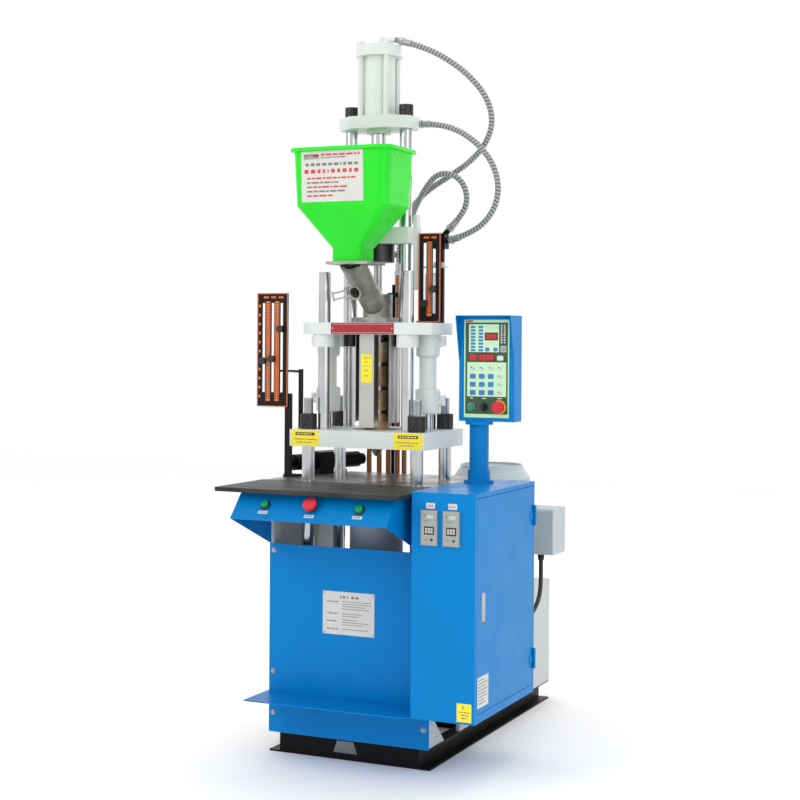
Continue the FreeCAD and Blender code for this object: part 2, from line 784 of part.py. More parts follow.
def bail_lugs():
    # two lugs on the spout's left side and the pin through them
    point, line, left, out = bail_frame()
    near = bail_half + gap
    far = near + bail_lug
    solids = [rod(bail_pin, point - line * far, point + line * far)]
    for side in (-1, 1):
        middle = point + line * side * (near + far) / 2
        solids.append(rod(bail_eye, point + line * side * near, point + line * side * far))
        solids.append(rod(bail_lug, middle, middle - left * 12 - spout_dir * 12))
    return solids


def drain_bail():
    # wire bail with a knuckle on the lugs' pin
    point, line, left, out = bail_frame()
    knuckle = rod(bail_eye, point - line * bail_half, point + line * bail_half)
    arm = bail_half - bail_wire
    wires = [rod(bail_wire, point + line * side * arm, point + line * side * arm + out * bail_out)
             for side in (-1, 1)]
    bar = rod(bail_wire + 2, point - line * bail_half + out * bail_out, point + line * bail_half + out * bail_out)
    bore = rod(bail_pin + 2 * run_fit, point - line * bail_half, point + line * bail_half)
    return knuckle.fuse(wires + [bar]).cut(bore)


def hopper():
    half_x, half_y = hopper_x / 2, hopper_deep / 2
    levels = [(half_x, half_y, 30.0, hopper_high), (half_x - 7, half_y - 7, 30.0, hopper_shoulder),
              (neck_x / 2, neck_y / 2, 12.0, hopper_neck), (neck_x / 2, neck_y / 2, 12.0, seat_high)]
    outer, inner = None, None
    for (x0, y0, r0, z0), (x1, y1, r1, z1) in zip(levels, levels[1:]):
        shell = Part.makeLoft([rounded(x0, y0, r0, z0, hopper_y), rounded(x1, y1, r1, z1, hopper_y)], True, True)
        w = hopper_wall
        core = Part.makeLoft([rounded(x0 - w, y0 - w, r0 - w, z0, hopper_y),
                              rounded(x1 - w, y1 - w, r1 - w, z1, hopper_y)], True, True)
        outer = shell if outer is None else outer.fuse(shell)
        inner = core if inner is None else inner.fuse(core)
    rim = Part.Face(rounded(half_x + rim_over, half_y + rim_over, 34.0, hopper_high - rim_h, hopper_y))
    rim = rim.extrude(Vec(0, 0, rim_h))
    return outer.fuse(rim).cut(inner)


def injection_columns():
    columns = []
    z0, z1 = inj_low + inj_thick, head_low
    for side in (-1, 1):
        x = side * inj_col_x
        column = upright(inj_col_d, z0, z1, x, axis_y)
        column = column.fuse(upright(inj_col_spigot, inj_low - col_nut_h + 4, z0, x, axis_y))
        columns.append(column.fuse(upright(inj_col_spigot, z1, z1 + head_thick + col_nut_h - 3, x, axis_y)))
    return columns


def column_nuts():
    nuts = []
    for side in (-1, 1):
        for z in (inj_low - col_nut_h, head_low + head_thick):
            x = side * inj_col_x
            nut = upright(col_nut_d, z, z + col_nut_h, x, axis_y)
            nut = nut.cut(upright(inj_col_spigot + 2 * run_fit, z, z + col_nut_h, x, axis_y))
            centre = Vec(x, axis_y, z + col_nut_h / 2)
            nuts.append(nut.cut(rod(5.0, centre - Vec(0, col_nut_d / 2, 0), centre + Vec(0, col_nut_d / 2, 0))))
    return nuts


h2_port = Vec(104.0, axis_y + 62, 1876.0)


def top_plate():
    shape = [(head_half_x, -head_end), (head_half_x, head_end), (62, head_half_y), (-62, head_half_y),
             (-head_half_x, head_end), (-head_half_x, -head_end), (-62, -head_half_y), (62, -head_half_y)]
    solid = prism_z([(x, axis_y + y) for x, y in shape], head_low, head_low + head_thick)
    solid = solid.fuse(upright(74.0, head_low - 11, head_low, 0, axis_y))
    solid = solid.fuse(block(50, h2_port.x - 10, h2_port.y - 14, h2_port.y + 14,
                             head_low + 4, head_low + head_thick - 2))
    solid = solid.fuse(rod(hose_d - 1, h2_port - Vec(12, 0, 0), h2_port))
    for side in (-1, 1):
        solid = solid.cut(upright(inj_col_spigot + 2 * run_fit, head_low, head_low + head_thick, side * inj_col_x,
                                  axis_y))
    return solid.cut(upright(rod_d + 2 * run_fit, head_low - 11, head_low + head_thick, 0, axis_y))


top_elbow = Vec(54.0, axis_y, cyl_top + cap_h + 18)


def injection_cylinder():
    low = head_low + head_thick
    solid = upright(cyl_d, low, cyl_top, 0, axis_y).fuse(upright(cap_d, cyl_top, cyl_top + cap_h, 0, axis_y))
    for x, y in four(42.0, 42.0):
        solid = solid.fuse(upright(16.0, low, cyl_top, x, y))
        solid = solid.fuse(upright(24.0, cyl_top + cap_h, cyl_top + cap_h + 10, x, y))
    riser = upright(22.0, cyl_top + cap_h, top_elbow.z + 9, 12, axis_y)
    solid = solid.fuse([riser, rod(hose_d - 1, Vec(12, axis_y, top_elbow.z), top_elbow)])
    return solid.cut(upright(cyl_bore, low, cyl_top, 0, axis_y))


def piston_rod():
    piston_low = head_low + head_thick + cross_down + 2
    solid = upright(rod_d, cross_low + cross_thick, piston_low, 0, axis_y)
    solid = solid.fuse(upright(cyl_bore - 2 * run_fit, piston_low, piston_low + 40, 0, axis_y))
    return solid.fuse(upright(30.0, cross_low + 12, cross_low + cross_thick, 0, axis_y))


arm_z = 1440.0


def crosshead():
    top = cross_low + cross_thick
    solid = block(-cross_half_x, cross_half_x, axis_y - cross_half_y, axis_y + cross_half_y, cross_low, top)
    for side in (-1, 1):
        solid = solid.cut(upright(inj_col_d + 2 * run_fit, cross_low, top, side * inj_col_x, axis_y))
    solid = solid.cut(upright(30.0 + 2 * run_fit, cross_low + 12, top, 0, axis_y))
    # travel pointer: flat bar on the right end and an arm passing behind the ruler
    x0 = cross_half_x
    bar = block(x0, x0 + 12, axis_y - 10, axis_y + 14, 1372.0, 1595.0)
    arm = block(x0 + 12, 226.0, axis_y + 6, axis_y + 12, arm_z - 2, arm_z + 2)
    flag = block(180.0, 214.0, axis_y + 6, axis_y + 12, arm_z + 2, arm_z + 14)
    return [solid, bar.fuse([arm, flag])]


def drive_motor():
    top, low = cross_low, cross_low - drive_h
    solid = upright(drive_d, low, top, 0, axis_y)
    solid = solid.cut(upright(shank_d + 2 * run_fit, low, top - 10, 0, axis_y))
    edge = axis_y + drive_d / 2
    for x in (-22.0, 22.0):
        port = rod(20.0, Vec(x, edge - 8, low + 27), Vec(x, edge + 22, low + 27))
        solid = solid.fuse(port)
    return solid


# travel rulers and their stops

right_slots = ((161.0, 1326.0, 1511.0), (191.0, 1302.0, 1511.0))
left_slots = ((-384.0, 1059.0, 1335.0), (-352.0, 1059.0, 1335.0), (-321.0, 1059.0, 1335.0))
right_stop_zs = (1332.0, 1374.0)
left_stop_zs = (1156.0, 1162.0, 1255.0)
slot_w = 10.0
right_ruler_x = (140.0, 212.0)
left_ruler_x = (-407.0, -298.0)
right_ruler_z = (inj_low + inj_thick + 2, 1540.0)
left_ruler_z = (1014.0, 1366.0)


def slotted_plate(x0, x1, z0, z1, slots):
    plate = block(x0, x1, ruler_y - ruler_thick, ruler_y, z0, z1)
    for x, low, high in slots:
        plate = plate.cut(block(x - slot_w / 2, x + slot_w / 2, ruler_y - ruler_thick, ruler_y, low, high))
    return plate


def right_ruler():
    x0, x1 = right_ruler_x
    z0, z1 = right_ruler_z
    plate = slotted_plate(x0, x1, z0, z1, right_slots)
    foot = block(x0 - 5, x1 - 8, ruler_y - ruler_thick, ruler_y + 16, inj_low + inj_thick, z0 + 4)
    return plate.fuse(foot)


def left_ruler():
    x0, x1 = left_ruler_x
    z0, z1 = left_ruler_z
    plate = slotted_plate(x0, x1, z0, z1, left_slots)
    post_high = z0 + 42
    post = block(-310, -288, ruler_y, ruler_y + 10, table_top, post_high)
    foot = block(-310, -262, ruler_y - 8, ruler_y + 22, table_top, table_top + 8)
    return [plate, post.fuse(foot)]


def ruler_stops(slots, zs):
    # thumb knob in front, stem through the slot, nut and trip block behind
    stops = []
    for (x, low, high), z in zip(slots, zs):
        front = ruler_y - ruler_thick
        knob = rod(22.0, Vec(x, front - gap - 13, z), Vec(x, front - gap, z))
        stem = rod(slot_w - 2 * run_fit, Vec(x, front - gap, z), Vec(x, ruler_y + gap, z))
        nut = block(x - 8, x + 8, ruler_y + gap, ruler_y + gap + 8, z - 7, z + 7)
        stops.append(knob.fuse([stem, nut]))
    return stops


# directional valve

valve_x = -262.0
valve_y = -150.0
valve_turn = 65.0


def directional_valve():
    z0 = table_top
    foot = block(-55, 55, -38, 38, z0, z0 + 12)
    body = block(-48, 48, -34, 34, z0 + 12, z0 + 68)
    z = z0 + 38
    parts = [body]
    for side in (-1, 1):
        parts.append(rod(50.0, Vec(side * 48, 0, z), Vec(side * 128, 0, z)))
        parts.append(rod(36.0, Vec(side * 128, 0, z), Vec(side * 150, 0, z)))
    valve = foot.fuse(parts)
    valve.rotate(Vec(0, 0, 0), Vec(0, 0, 1), valve_turn)
    valve.translate(Vec(valve_x, valve_y, 0))
    return valve


# cabinet, door, timers, control box

def cabinet():
    solid = block(cab_left, cab_right, cab_front, cab_rear, cab_low, cab_high)
    inside = block(cab_left + sheet, cab_right - sheet, cab_front + sheet, cab_rear - sheet,
                   cab_low + sheet, cab_high - sheet)
    solid = solid.cut(inside)
    solid = solid.cut(block(cab_right - sheet, cab_right, door_front, door_rear, door_low, door_high))
    for x in timer_xs:
        solid = solid.cut(block(x - timer_w / 2 + 1.5, x + timer_w / 2 - 1.5, cab_front, cab_front + sheet,
                                timer_z - timer_h / 2 + 2, timer_z + timer_h / 2 - 2))
    # welded socket for the control post
    z = cab_high
    socket = upright(socket_flange, z, z + socket_flange_h, post_x, post_y)
    socket = socket.fuse(upright(socket_d, z, z + socket_flange_h + socket_h, post_x, post_y))
    socket = socket.cut(upright(post_d + 2 * run_fit, z, z + socket_flange_h + socket_h, post_x, post_y))
    # hinge leaves, outer knuckles and pins
    extra = [socket]
    for z in (cab_low + 70, cab_high - 130):
        leaf = block(cab_right, cab_right + 1.5, hinge_y, cab_rear, z, z + hinge_len)
        outer = upright(hinge_d, z, z + hinge_len, hinge_x, hinge_y)
        middle = block(cab_right, cab_right + 12, hinge_y - 8, cab_rear, z + 20 - gap, z + 40 + gap)
        pin = upright(hinge_pin, z, z + hinge_len, hinge_x, hinge_y)
        extra.append(leaf.fuse(outer).cut(middle).fuse(pin))
    # cable gland on the back
    gland = rod(26.0, Vec(cable_end.x, cab_rear, cable_end.z), Vec(cable_end.x, cable_end.y, cable_end.z))
    # spacer pads that stand the cabinet off the frame's side plate
    pads = [block(frame_half, cab_left, y, y + 40, z, z + 40) for y in (-500.0, -240.0) for z in (220.0, 700.0)]
    return solid.fuse(extra + [gland] + pads)


cable_end = Vec(330.0, cab_rear + 16, 330.0)


def cabinet_door():
    y0, y1 = door_front + door_gap, door_rear - door_gap
    z0, z1 = door_low + door_gap, door_high - door_gap
    x1 = cab_right
    solid = block(x1 - door_return, x1, y0, y1, z0, z1)
    solid = solid.cut(block(x1 - door_return, x1 - sheet, y0 + sheet, y1 - sheet, z0 + sheet, z1 - sheet))
    # recessed pan for the paddle handle
    half_w = paddle_w / 2 + gap
    low, high = paddle_low - 2.0, paddle_low + paddle_h + gap
    pan = block(x1 - 16, x1, paddle_y - half_w - 2, paddle_y + half_w + 2, low - 2, high + 2)
    solid = solid.fuse(pan).cut(block(x1 - 14, x1, paddle_y - half_w, paddle_y + half_w, low, high))
    solid = solid.cut(rod(4.0 + 2 * run_fit, Vec(x1 - 5, paddle_y - half_w - 2, paddle_low + 8),
                          Vec(x1 - 5, paddle_y + half_w + 2, paddle_low + 8)))
    for z in (cab_low + 70, cab_high - 130):
        leaf = block(x1, x1 + 1.5, hinge_y - 32, hinge_y, z + 20, z + 40)
        knuckle = upright(hinge_d, z + 20, z + 40, hinge_x, hinge_y)
        hinge = leaf.fuse(knuckle).cut(upright(hinge_pin + 2 * run_fit, z + 20, z + 40, hinge_x, hinge_y))
        solid = solid.fuse(hinge)
    return solid


def door_latch():
    x1 = cab_right
    paddle = block(x1 - 3, x1, paddle_y - paddle_w / 2, paddle_y + paddle_w / 2, paddle_low, paddle_low + paddle_h)
    boss = rod(7.0, Vec(x1 - 5, paddle_y - paddle_w / 2 + 3, paddle_low + 8),
               Vec(x1 - 5, paddle_y + paddle_w / 2 - 3, paddle_low + 8))
    pin = rod(4.0, Vec(x1 - 5, paddle_y - paddle_w / 2 - 2, paddle_low + 8),
              Vec(x1 - 5, paddle_y + paddle_w / 2 + 2, paddle_low + 8))
    return paddle.fuse([boss, pin])


def timers():
    solids = []
    for x in timer_xs:
        bezel = block(x - timer_w / 2, x + timer_w / 2, cab_front - 8, cab_front,
                      timer_z - timer_h / 2, timer_z + timer_h / 2)
        body = block(x - timer_w / 2 + 1.7, x + timer_w / 2 - 1.7, cab_front, cab_front + 84,
                     timer_z - timer_h / 2 + 2.2, timer_z + timer_h / 2 - 2.2)
        solids.append(bezel.fuse(body))
    return solids


def control_post():
    z0 = cab_high + gap
    post = upright(post_d, z0, box_low, post_x, post_y)
    return post.fuse(upright(82.0, box_low - 10, box_low, post_x, post_y))


panel_front = box_y - box_deep / 2
panel_low = box_low + 8
panel_high = box_high - 9
control_z = box_low + 42.0
control_xs = (box_x - 47.0, box_x - 8.0, box_x + 40.0)
control_hole = 16.4


def control_box():
    x0, x1 = box_x - box_w / 2, box_x + box_w / 2
    y0, y1 = panel_front, box_y + box_deep / 2
    solid = block(x0, x1, y0, y1, box_low, box_high)
    solid = solid.cut(block(x0 + sheet, x1 - sheet, y0 + 6, y1 - sheet, box_low + sheet, box_high - sheet))
    solid = solid.cut(block(x0 + 12, x1 - 14, y0, y0 + 3, panel_low, panel_high))
    # visor: top sheet and tapering cheeks in front of the face
    roof = block(x0, x1, y0 - visor, y0, box_high - sheet, box_high)
    cheek = [(y0, visor_low), (y0, box_high), (y0 - visor, box_high), (y0 - visor, box_high - 10)]
    solid = solid.fuse([roof, prism_x(cheek, x0, x0 + sheet), prism_x(cheek, x1 - sheet, x1)])
    for x in control_xs:
        hole = rod(control_hole, Vec(x, y0 - 1, control_z), Vec(x, y0 + 8, control_z))
        solid = solid.cut(hole)
    return solid


face_y = panel_front + 3.0          # the recessed face that the controls sit in


def push_button(centre, axis, stem_d, cap_d, cap_out, stem_in, stand_off):
    stem = rod(stem_d, centre - axis * stem_in, centre + axis * stand_off)
    cap = rod(cap_d, centre + axis * stand_off, centre + axis * (stand_off + cap_out))
    return stem.fuse(cap)


out_front = Vec(0, -1, 0)


def box_button():
    centre = Vec(control_xs[0], face_y, control_z)
    return push_button(centre, out_front, control_hole - 2 * run_fit, 18.0, 5.0, 14.0, 6.0)


def box_selector():
    centre = Vec(control_xs[1], face_y, control_z)
    knob = push_button(centre, out_front, control_hole - 2 * run_fit, 19.0, 4.0, 14.0, gap)
    return knob.fuse(block(centre.x - 3, centre.x + 3, face_y - 15, face_y - 4, control_z - 9.3, control_z + 9.3))


def box_estop():
    centre = Vec(control_xs[2], face_y, control_z)
    return push_button(centre, out_front, control_hole - 2 * run_fit, 36.0, 10.0, 14.0, 9.0)


def console_button(x):
    centre = Vec(x, button_y, button_z)
    return push_button(centre, button_axis, button_hole - 2 * run_fit, button_hole - 2 * run_fit, 4.0, 16.0, 7.0)


def console_estop():
    centre = Vec(button_xs[1], button_y, button_z)
    return push_button(centre, button_axis, button_hole - 2 * run_fit, 40.0, 10.0, 16.0, 12.0)


# hoses

bulk_x = (140.0, 178.0)
bulk_y = (-232.0, -198.0)
bulk_z = (1500.0, 1545.0)
h2_end = Vec(193.0, -226.0, 1524.0)
h3_end = Vec(184.0, -213.0, 1558.0)


def hose_bulkhead():
    top = inj_low + inj_thick
    post = block(150, 168, -220, -206, top, bulk_z[0])
    foot = block(112, 168, -218, -206, top, top + 8)
    body = block(bulk_x[0], bulk_x[1], bulk_y[0], bulk_y[1], bulk_z[0], bulk_z[1])
    side = rod(hose_d - 1, Vec(bulk_x[1] - 4, h2_end.y, h2_end.z), h2_end)
    slant = rod(hose_d - 1, h3_end - Vec(24, 0, 24), h3_end)
    slant = slant.cut(block(120, 200, -240, -190, 1500, bulk_z[1] - 1))
    return post.fuse([foot, body, side, slant])


tall_x, short_x = pipe_xs[-2:]
h1_points = [(54.0, -324.0, 2123.0), (122.0, -322.0, 2104.0), (200.0, -314.0, 2068.0), (276.0, -298.0, 2012.0),
             (330.0, -278.0, 1944.0), (343.0, -256.0, 1874.0), (312.0, -232.0, 1812.0), (252.0, -208.0, 1762.0),
             (172.0, -186.0, 1722.0), (92.0, -162.0, 1686.0), (20.0, -122.0, 1640.0), (-40.0, -72.0, 1576.0),
             (tall_x, pipe_y, 1502.0), (tall_x, pipe_y, tall_pipe_z + fitting_h)]
h2_points = [(104.0, -262.0, 1876.0), (172.0, -266.0, 1872.0), (246.0, -274.0, 1846.0), (314.0, -278.0, 1796.0),
             (360.0, -276.0, 1728.0), (368.0, -270.0, 1652.0), (336.0, -260.0, 1588.0), (272.0, -244.0, 1544.0),
             (193.0, -226.0, 1524.0)]
h3_points = [(short_x, pipe_y, tall_pipe_z + fitting_h), (short_x, pipe_y, 1500.0), (-22.0, -66.0, 1558.0),
             (16.0, -118.0, 1606.0), (60.0, -166.0, 1650.0), (106.0, -204.0, 1694.0), (150.0, -226.0, 1727.0),
             (202.0, -230.0, 1726.0), (240.0, -228.0, 1692.0), (249.0, -222.0, 1641.0), (224.0, -216.0, 1596.0),
             (184.0, -213.0, 1558.0)]
sleeve_points = [(-110.0, pipe_y, pipe_low - 15), (-110.0, pipe_y, 500.0), (-116.0, -27.0, 400.0),
                 (-110.0, -26.0, 300.0), (-91.0, -25.0, 228.0), (-38.0, -25.0, 174.0), (35.0, -25.0, 155.0),
                 (107.0, -25.0, 175.0), (160.0, -24.0, 228.0), (port_x, -24.0, 301.0), (port_x, -24.0, 380.0)]
motor_cable_top = Vec(pump_x + motor_d / 2 + 62, pump_y - 20, tank_high + bell_h + 30)
motor_cable_points = [tuple(motor_cable_top), (334.0, 216.0, 470.0), (346.0, 176.0, 412.0), (352.0, 112.0, 372.0),
                      (346.0, 40.0, 350.0), (336.0, -36.0, 338.0), (330.0, -104.0, 331.0),
                      (330.0, -170.0, 330.0)]

save("base_skid", base_skid())
save("side_plates", *side_plates())
save("fixed_platen", fixed_platen())
save("work_table", work_table())
save("console", console())
save("front_panel", front_panel())
save("oil_tank", oil_tank())
save("gear_pump", *gear_pump())
save("pump_motor", *pump_motor())
save("fan_cowl", fan_cowl())
save("motor_rotor", motor_rotor())
save("clamp_cylinder", clamp_cylinder())
save("pull_plate", pull_plate())
save("ram_rods", *ram_rods())
save("tie_bars", *tie_bars())
save("tie_bar_nuts", *tie_bar_nuts())
save("clamp_platen", clamp_platen())
save("guide_columns", *guide_columns())
save("pipe_mast", *pipe_mast())
save("hydraulic_pipes", *hydraulic_pipes())
save("injection_platen", injection_platen())
save("carriage_cylinders", *carriage_cylinders())
save("barrel", *barrel())
save("heater_bands", *heater_bands())
save("heater_guards", *heater_guards())
save("screw", screw())
save("feed_throat", feed_throat())
save("drain_bail", drain_bail())
save("hopper", hopper())
save("injection_columns", *injection_columns())
save("column_nuts", *column_nuts())
save("top_plate", top_plate())
save("injection_cylinder", injection_cylinder())
save("piston_rod", piston_rod())
save("crosshead", *crosshead())
save("drive_motor", drive_motor())
save("right_ruler", right_ruler())
save("left_ruler", *left_ruler())
save("right_stops", *ruler_stops(right_slots, right_stop_zs))
save("left_stops", *ruler_stops(left_slots, left_stop_zs))
save("directional_valve", directional_valve())
save("cabinet", cabinet())
save("cabinet_door", cabinet_door())
save("door_latch", door_latch())
save("timers", *timers())
save("control_post", control_post())
save("control_box", control_box())
save("box_button", box_button())
save("box_selector", box_selector())
save("box_estop", box_estop())
save("left_button", console_button(button_xs[0]))
save("right_button", console_button(button_xs[2]))
save("console_estop", console_estop())
save("hose_bulkhead", hose_bulkhead())
save("top_hose", cord("top_hose", h1_points, hose_d))
save("plate_hose", cord("plate_hose", h2_points, hose_d))
save("loop_hose", cord("loop_hose", h3_points, hose_d))
save("hose_sleeve", cord("hose_sleeve", sleeve_points, sleeve_d))
save("motor_cable", cord("motor_cable", motor_cable_points, cable_d))
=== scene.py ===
import json
import math
import random

import bmesh
import bpy
from mathutils import Matrix, Vector
from mathutils.bvhtree import BVHTree


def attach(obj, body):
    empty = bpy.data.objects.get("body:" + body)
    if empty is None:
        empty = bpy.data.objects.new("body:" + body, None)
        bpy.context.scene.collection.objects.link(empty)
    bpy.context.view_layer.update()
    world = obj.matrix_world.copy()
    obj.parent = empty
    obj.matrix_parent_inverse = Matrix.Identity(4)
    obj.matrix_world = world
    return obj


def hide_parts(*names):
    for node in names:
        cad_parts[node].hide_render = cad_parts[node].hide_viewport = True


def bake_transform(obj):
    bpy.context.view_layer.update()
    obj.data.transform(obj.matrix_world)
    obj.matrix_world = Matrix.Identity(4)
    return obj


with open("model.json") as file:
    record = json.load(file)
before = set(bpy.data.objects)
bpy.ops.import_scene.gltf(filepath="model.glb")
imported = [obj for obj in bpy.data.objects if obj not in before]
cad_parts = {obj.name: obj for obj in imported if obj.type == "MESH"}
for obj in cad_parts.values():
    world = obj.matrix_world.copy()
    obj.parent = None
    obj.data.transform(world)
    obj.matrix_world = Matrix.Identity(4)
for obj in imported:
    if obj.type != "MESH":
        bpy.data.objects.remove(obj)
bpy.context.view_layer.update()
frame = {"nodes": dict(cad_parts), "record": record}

mm = 0.001

# camera and light

cameraPlace = {"x": 2.036, "y": -4.605, "z": 1.224, "turn": 24.62, "roll": 0.36, "lens": 70.8, "shiftY": -0.0754}


def placeCamera():
    turn = math.radians(cameraPlace["turn"])
    roll = math.radians(cameraPlace["roll"])
    ahead = Vector((-math.sin(turn), math.cos(turn), 0))
    right = Vector((math.cos(turn), math.sin(turn), 0)) * math.cos(roll) + Vector((0, 0, 1)) * math.sin(roll)
    up = right.cross(ahead)
    data = bpy.data.cameras.new("camera")
    data.lens = cameraPlace["lens"]
    data.sensor_width = 36
    data.shift_y = cameraPlace["shiftY"]
    data.clip_end = 60
    camera = bpy.data.objects.new("camera", data)
    bpy.context.scene.collection.objects.link(camera)
    turned = Matrix((right, up, -ahead)).transposed().to_4x4()
    camera.matrix_world = Matrix.Translation((cameraPlace["x"], cameraPlace["y"], cameraPlace["z"])) @ turned
    bpy.context.scene.camera = camera


def softLight(name, place, aim, size, power):
    data = bpy.data.lights.new(name, "AREA")
    data.shape = "RECTANGLE"
    data.size = size[0]
    data.size_y = size[1]
    data.energy = power
    lamp = bpy.data.objects.new(name, data)
    bpy.context.scene.collection.objects.link(lamp)
    away = Vector(place) - Vector(aim)
    lamp.matrix_world = Matrix.Translation(place) @ away.to_track_quat("Z", "Y").to_matrix().to_4x4()


def studio():
    world = bpy.data.worlds.new("studio")
    world.use_nodes = True
    world.node_tree.nodes["Background"].inputs["Color"].default_value = (1, 1, 1, 1)
    world.node_tree.nodes["Background"].inputs["Strength"].default_value = 1.0
    bpy.context.scene.world = world
    softLight("keyLight", (-2.6, -4.2, 3.6), (0, 0, 1.0), (2.2, 2.6), 52)
    softLight("fillLight", (4.2, -3.2, 2.2), (0, 0, 0.9), (2.6, 2.6), 26)
    softLight("topLight", (0.3, 0.6, 4.6), (0, 0, 1.0), (2.4, 2.4), 26)
    softLight("backLight", (0.6, 4.6, 2.6), (0, 0, 1.0), (3.0, 2.2), 20)
    scene = bpy.context.scene
    scene.view_settings.view_transform = "Standard"
    scene.view_settings.look = "None"


def paleFloor():
    mesh = bpy.data.meshes.new("floor")
    grid = bmesh.new()
    bmesh.ops.create_grid(grid, x_segments=2, y_segments=2, size=9)
    grid.to_mesh(mesh)
    grid.free()
    floor = bpy.data.objects.new("floor", mesh)
    bpy.context.scene.collection.objects.link(floor)
    pale = bpy.data.materials.new("floorPale")
    pale.use_nodes = True
    shader = pale.node_tree.nodes["Principled BSDF"]
    shader.inputs["Base Color"].default_value = (0.98, 0.98, 0.98, 1)
    shader.inputs["Roughness"].default_value = 0.8
    mesh.materials.append(pale)


placeCamera()
studio()
paleFloor()
print("camera, light and floor stand")

# materials


class Recipe:
    # a material's node tree with short ways to add what the finishes share

    def __init__(self, name):
        self.material = bpy.data.materials.new(name)
        self.material.use_nodes = True
        self.tree = self.material.node_tree
        self.shader = self.tree.nodes["Principled BSDF"]
        self.object = self.add("ShaderNodeTexCoord").outputs["Object"]

    def add(self, kind, **values):
        node = self.tree.nodes.new(kind)
        for key, value in values.items():
            setattr(node, key, value)
        return node

    def wire(self, source, target):
        self.tree.links.new(source, target)

    def setShader(self, **values):
        for key, value in values.items():
            self.shader.inputs[key.replace("_", " ")].default_value = value

    def stretched(self, scale, turn=(0, 0, 0)):
        mapping = self.add("ShaderNodeMapping")
        mapping.inputs["Scale"].default_value = scale
        mapping.inputs["Rotation"].default_value = turn
        self.wire(self.object, mapping.inputs["Vector"])
        return mapping.outputs["Vector"]

    def noise(self, scale, detail=4.0, roughness=0.55, vector=None, distortion=0.0):
        node = self.add("ShaderNodeTexNoise")
        node.inputs["Scale"].default_value = scale
        node.inputs["Detail"].default_value = detail
        node.inputs["Roughness"].default_value = roughness
        node.inputs["Distortion"].default_value = distortion
        self.wire(vector or self.object, node.inputs["Vector"])
        return node.outputs["Fac"]

    def ramp(self, source, stops):
        node = self.add("ShaderNodeValToRGB")
        elements = node.color_ramp.elements
        while len(elements) < len(stops):
            elements.new(0.5)
        for element, (place, colour) in zip(elements, stops):
            element.position = place
            element.color = colour if len(colour) == 4 else (*colour, 1)
        self.wire(source, node.inputs["Fac"])
        return node.outputs["Color"]

    def spread(self, source, low, high, fromLow=0.3, fromHigh=0.7):
        node = self.add("ShaderNodeMapRange")
        node.inputs["From Min"].default_value = fromLow
        node.inputs["From Max"].default_value = fromHigh
        node.inputs["To Min"].default_value = low
        node.inputs["To Max"].default_value = high
        self.wire(source, node.inputs["Value"])
        return node.outputs["Result"]

    def bump(self, source, distance, strength=1.0):
        node = self.add("ShaderNodeBump")
        node.inputs["Strength"].default_value = strength
        node.inputs["Distance"].default_value = distance
        self.wire(source, node.inputs["Height"])
        self.wire(node.outputs["Normal"], self.shader.inputs["Normal"])


def shade(colour, factor):
    return tuple(min(1.0, c * factor) for c in colour)


def paint(name, colour, roughness=0.32, peel=0.00003, mottle=0.05, specular=0.28):
    # sprayed machine paint: a slight orange peel, faint clouding and handled patches
    recipe = Recipe(name)
    cloud = recipe.noise(3.2, 5)
    tone = recipe.ramp(cloud, [(0.3, shade(colour, 1 - mottle)), (0.7, shade(colour, 1 + mottle))])
    recipe.wire(tone, recipe.shader.inputs["Base Color"])
    recipe.wire(recipe.spread(recipe.noise(14, 6), roughness - 0.06, roughness + 0.09),
                recipe.shader.inputs["Roughness"])
    recipe.setShader(Specular_IOR_Level=specular)
    recipe.bump(recipe.noise(300, 1), peel)
    return recipe.material


def metal(name, colour, roughness=0.25, grain=(40, 40, 900), stain=None, depth=0.00006):
    # bare metal with a machined grain along one axis and uneven polish
    recipe = Recipe(name)
    lines = recipe.noise(1.0, 3, vector=recipe.stretched(grain))
    cloud = recipe.noise(7, 6)
    light, dark = shade(colour, 1.08), shade(colour, 0.80)
    tone = recipe.ramp(cloud, [(0.35, stain or dark), (0.52, colour), (0.7, light)])
    recipe.wire(tone, recipe.shader.inputs["Base Color"])
    recipe.setShader(Metallic=1.0)
    recipe.wire(recipe.spread(lines, roughness - 0.07, roughness + 0.12), recipe.shader.inputs["Roughness"])
    recipe.bump(lines, depth)
    return recipe.material


def chromeFinish():
    # hard chrome on ground rods: nearly mirror, with fine rings and faint oil
    recipe = Recipe("hardChrome")
    rings = recipe.noise(1.0, 2, vector=recipe.stretched((6, 6, 1300)))
    oil = recipe.noise(9, 5)
    recipe.wire(recipe.ramp(oil, [(0.3, (0.46, 0.47, 0.48)), (0.7, (0.62, 0.63, 0.64))]),
                recipe.shader.inputs["Base Color"])
    recipe.setShader(Metallic=1.0)
    recipe.wire(recipe.spread(rings, 0.10, 0.22), recipe.shader.inputs["Roughness"])
    recipe.bump(rings, 0.00002)
    return recipe.material


def scuffedTable():
    # dark work table: rubbed grey patches, scratches and dust
    recipe = Recipe("scuffedTable")
    patches = recipe.noise(5, 8, 0.62)
    scratches = recipe.noise(1.0, 6, vector=recipe.stretched((9, 260, 9), (0, 0, 0.5)))
    tone = recipe.ramp(patches, [(0.30, (0.014, 0.014, 0.014)), (0.52, (0.034, 0.034, 0.032)),
                                 (0.72, (0.085, 0.085, 0.080))])
    recipe.wire(tone, recipe.shader.inputs["Base Color"])
    recipe.setShader(Metallic=0.35)
    recipe.wire(recipe.spread(scratches, 0.36, 0.60), recipe.shader.inputs["Roughness"])
    recipe.bump(scratches, 0.0001)
    return recipe.material


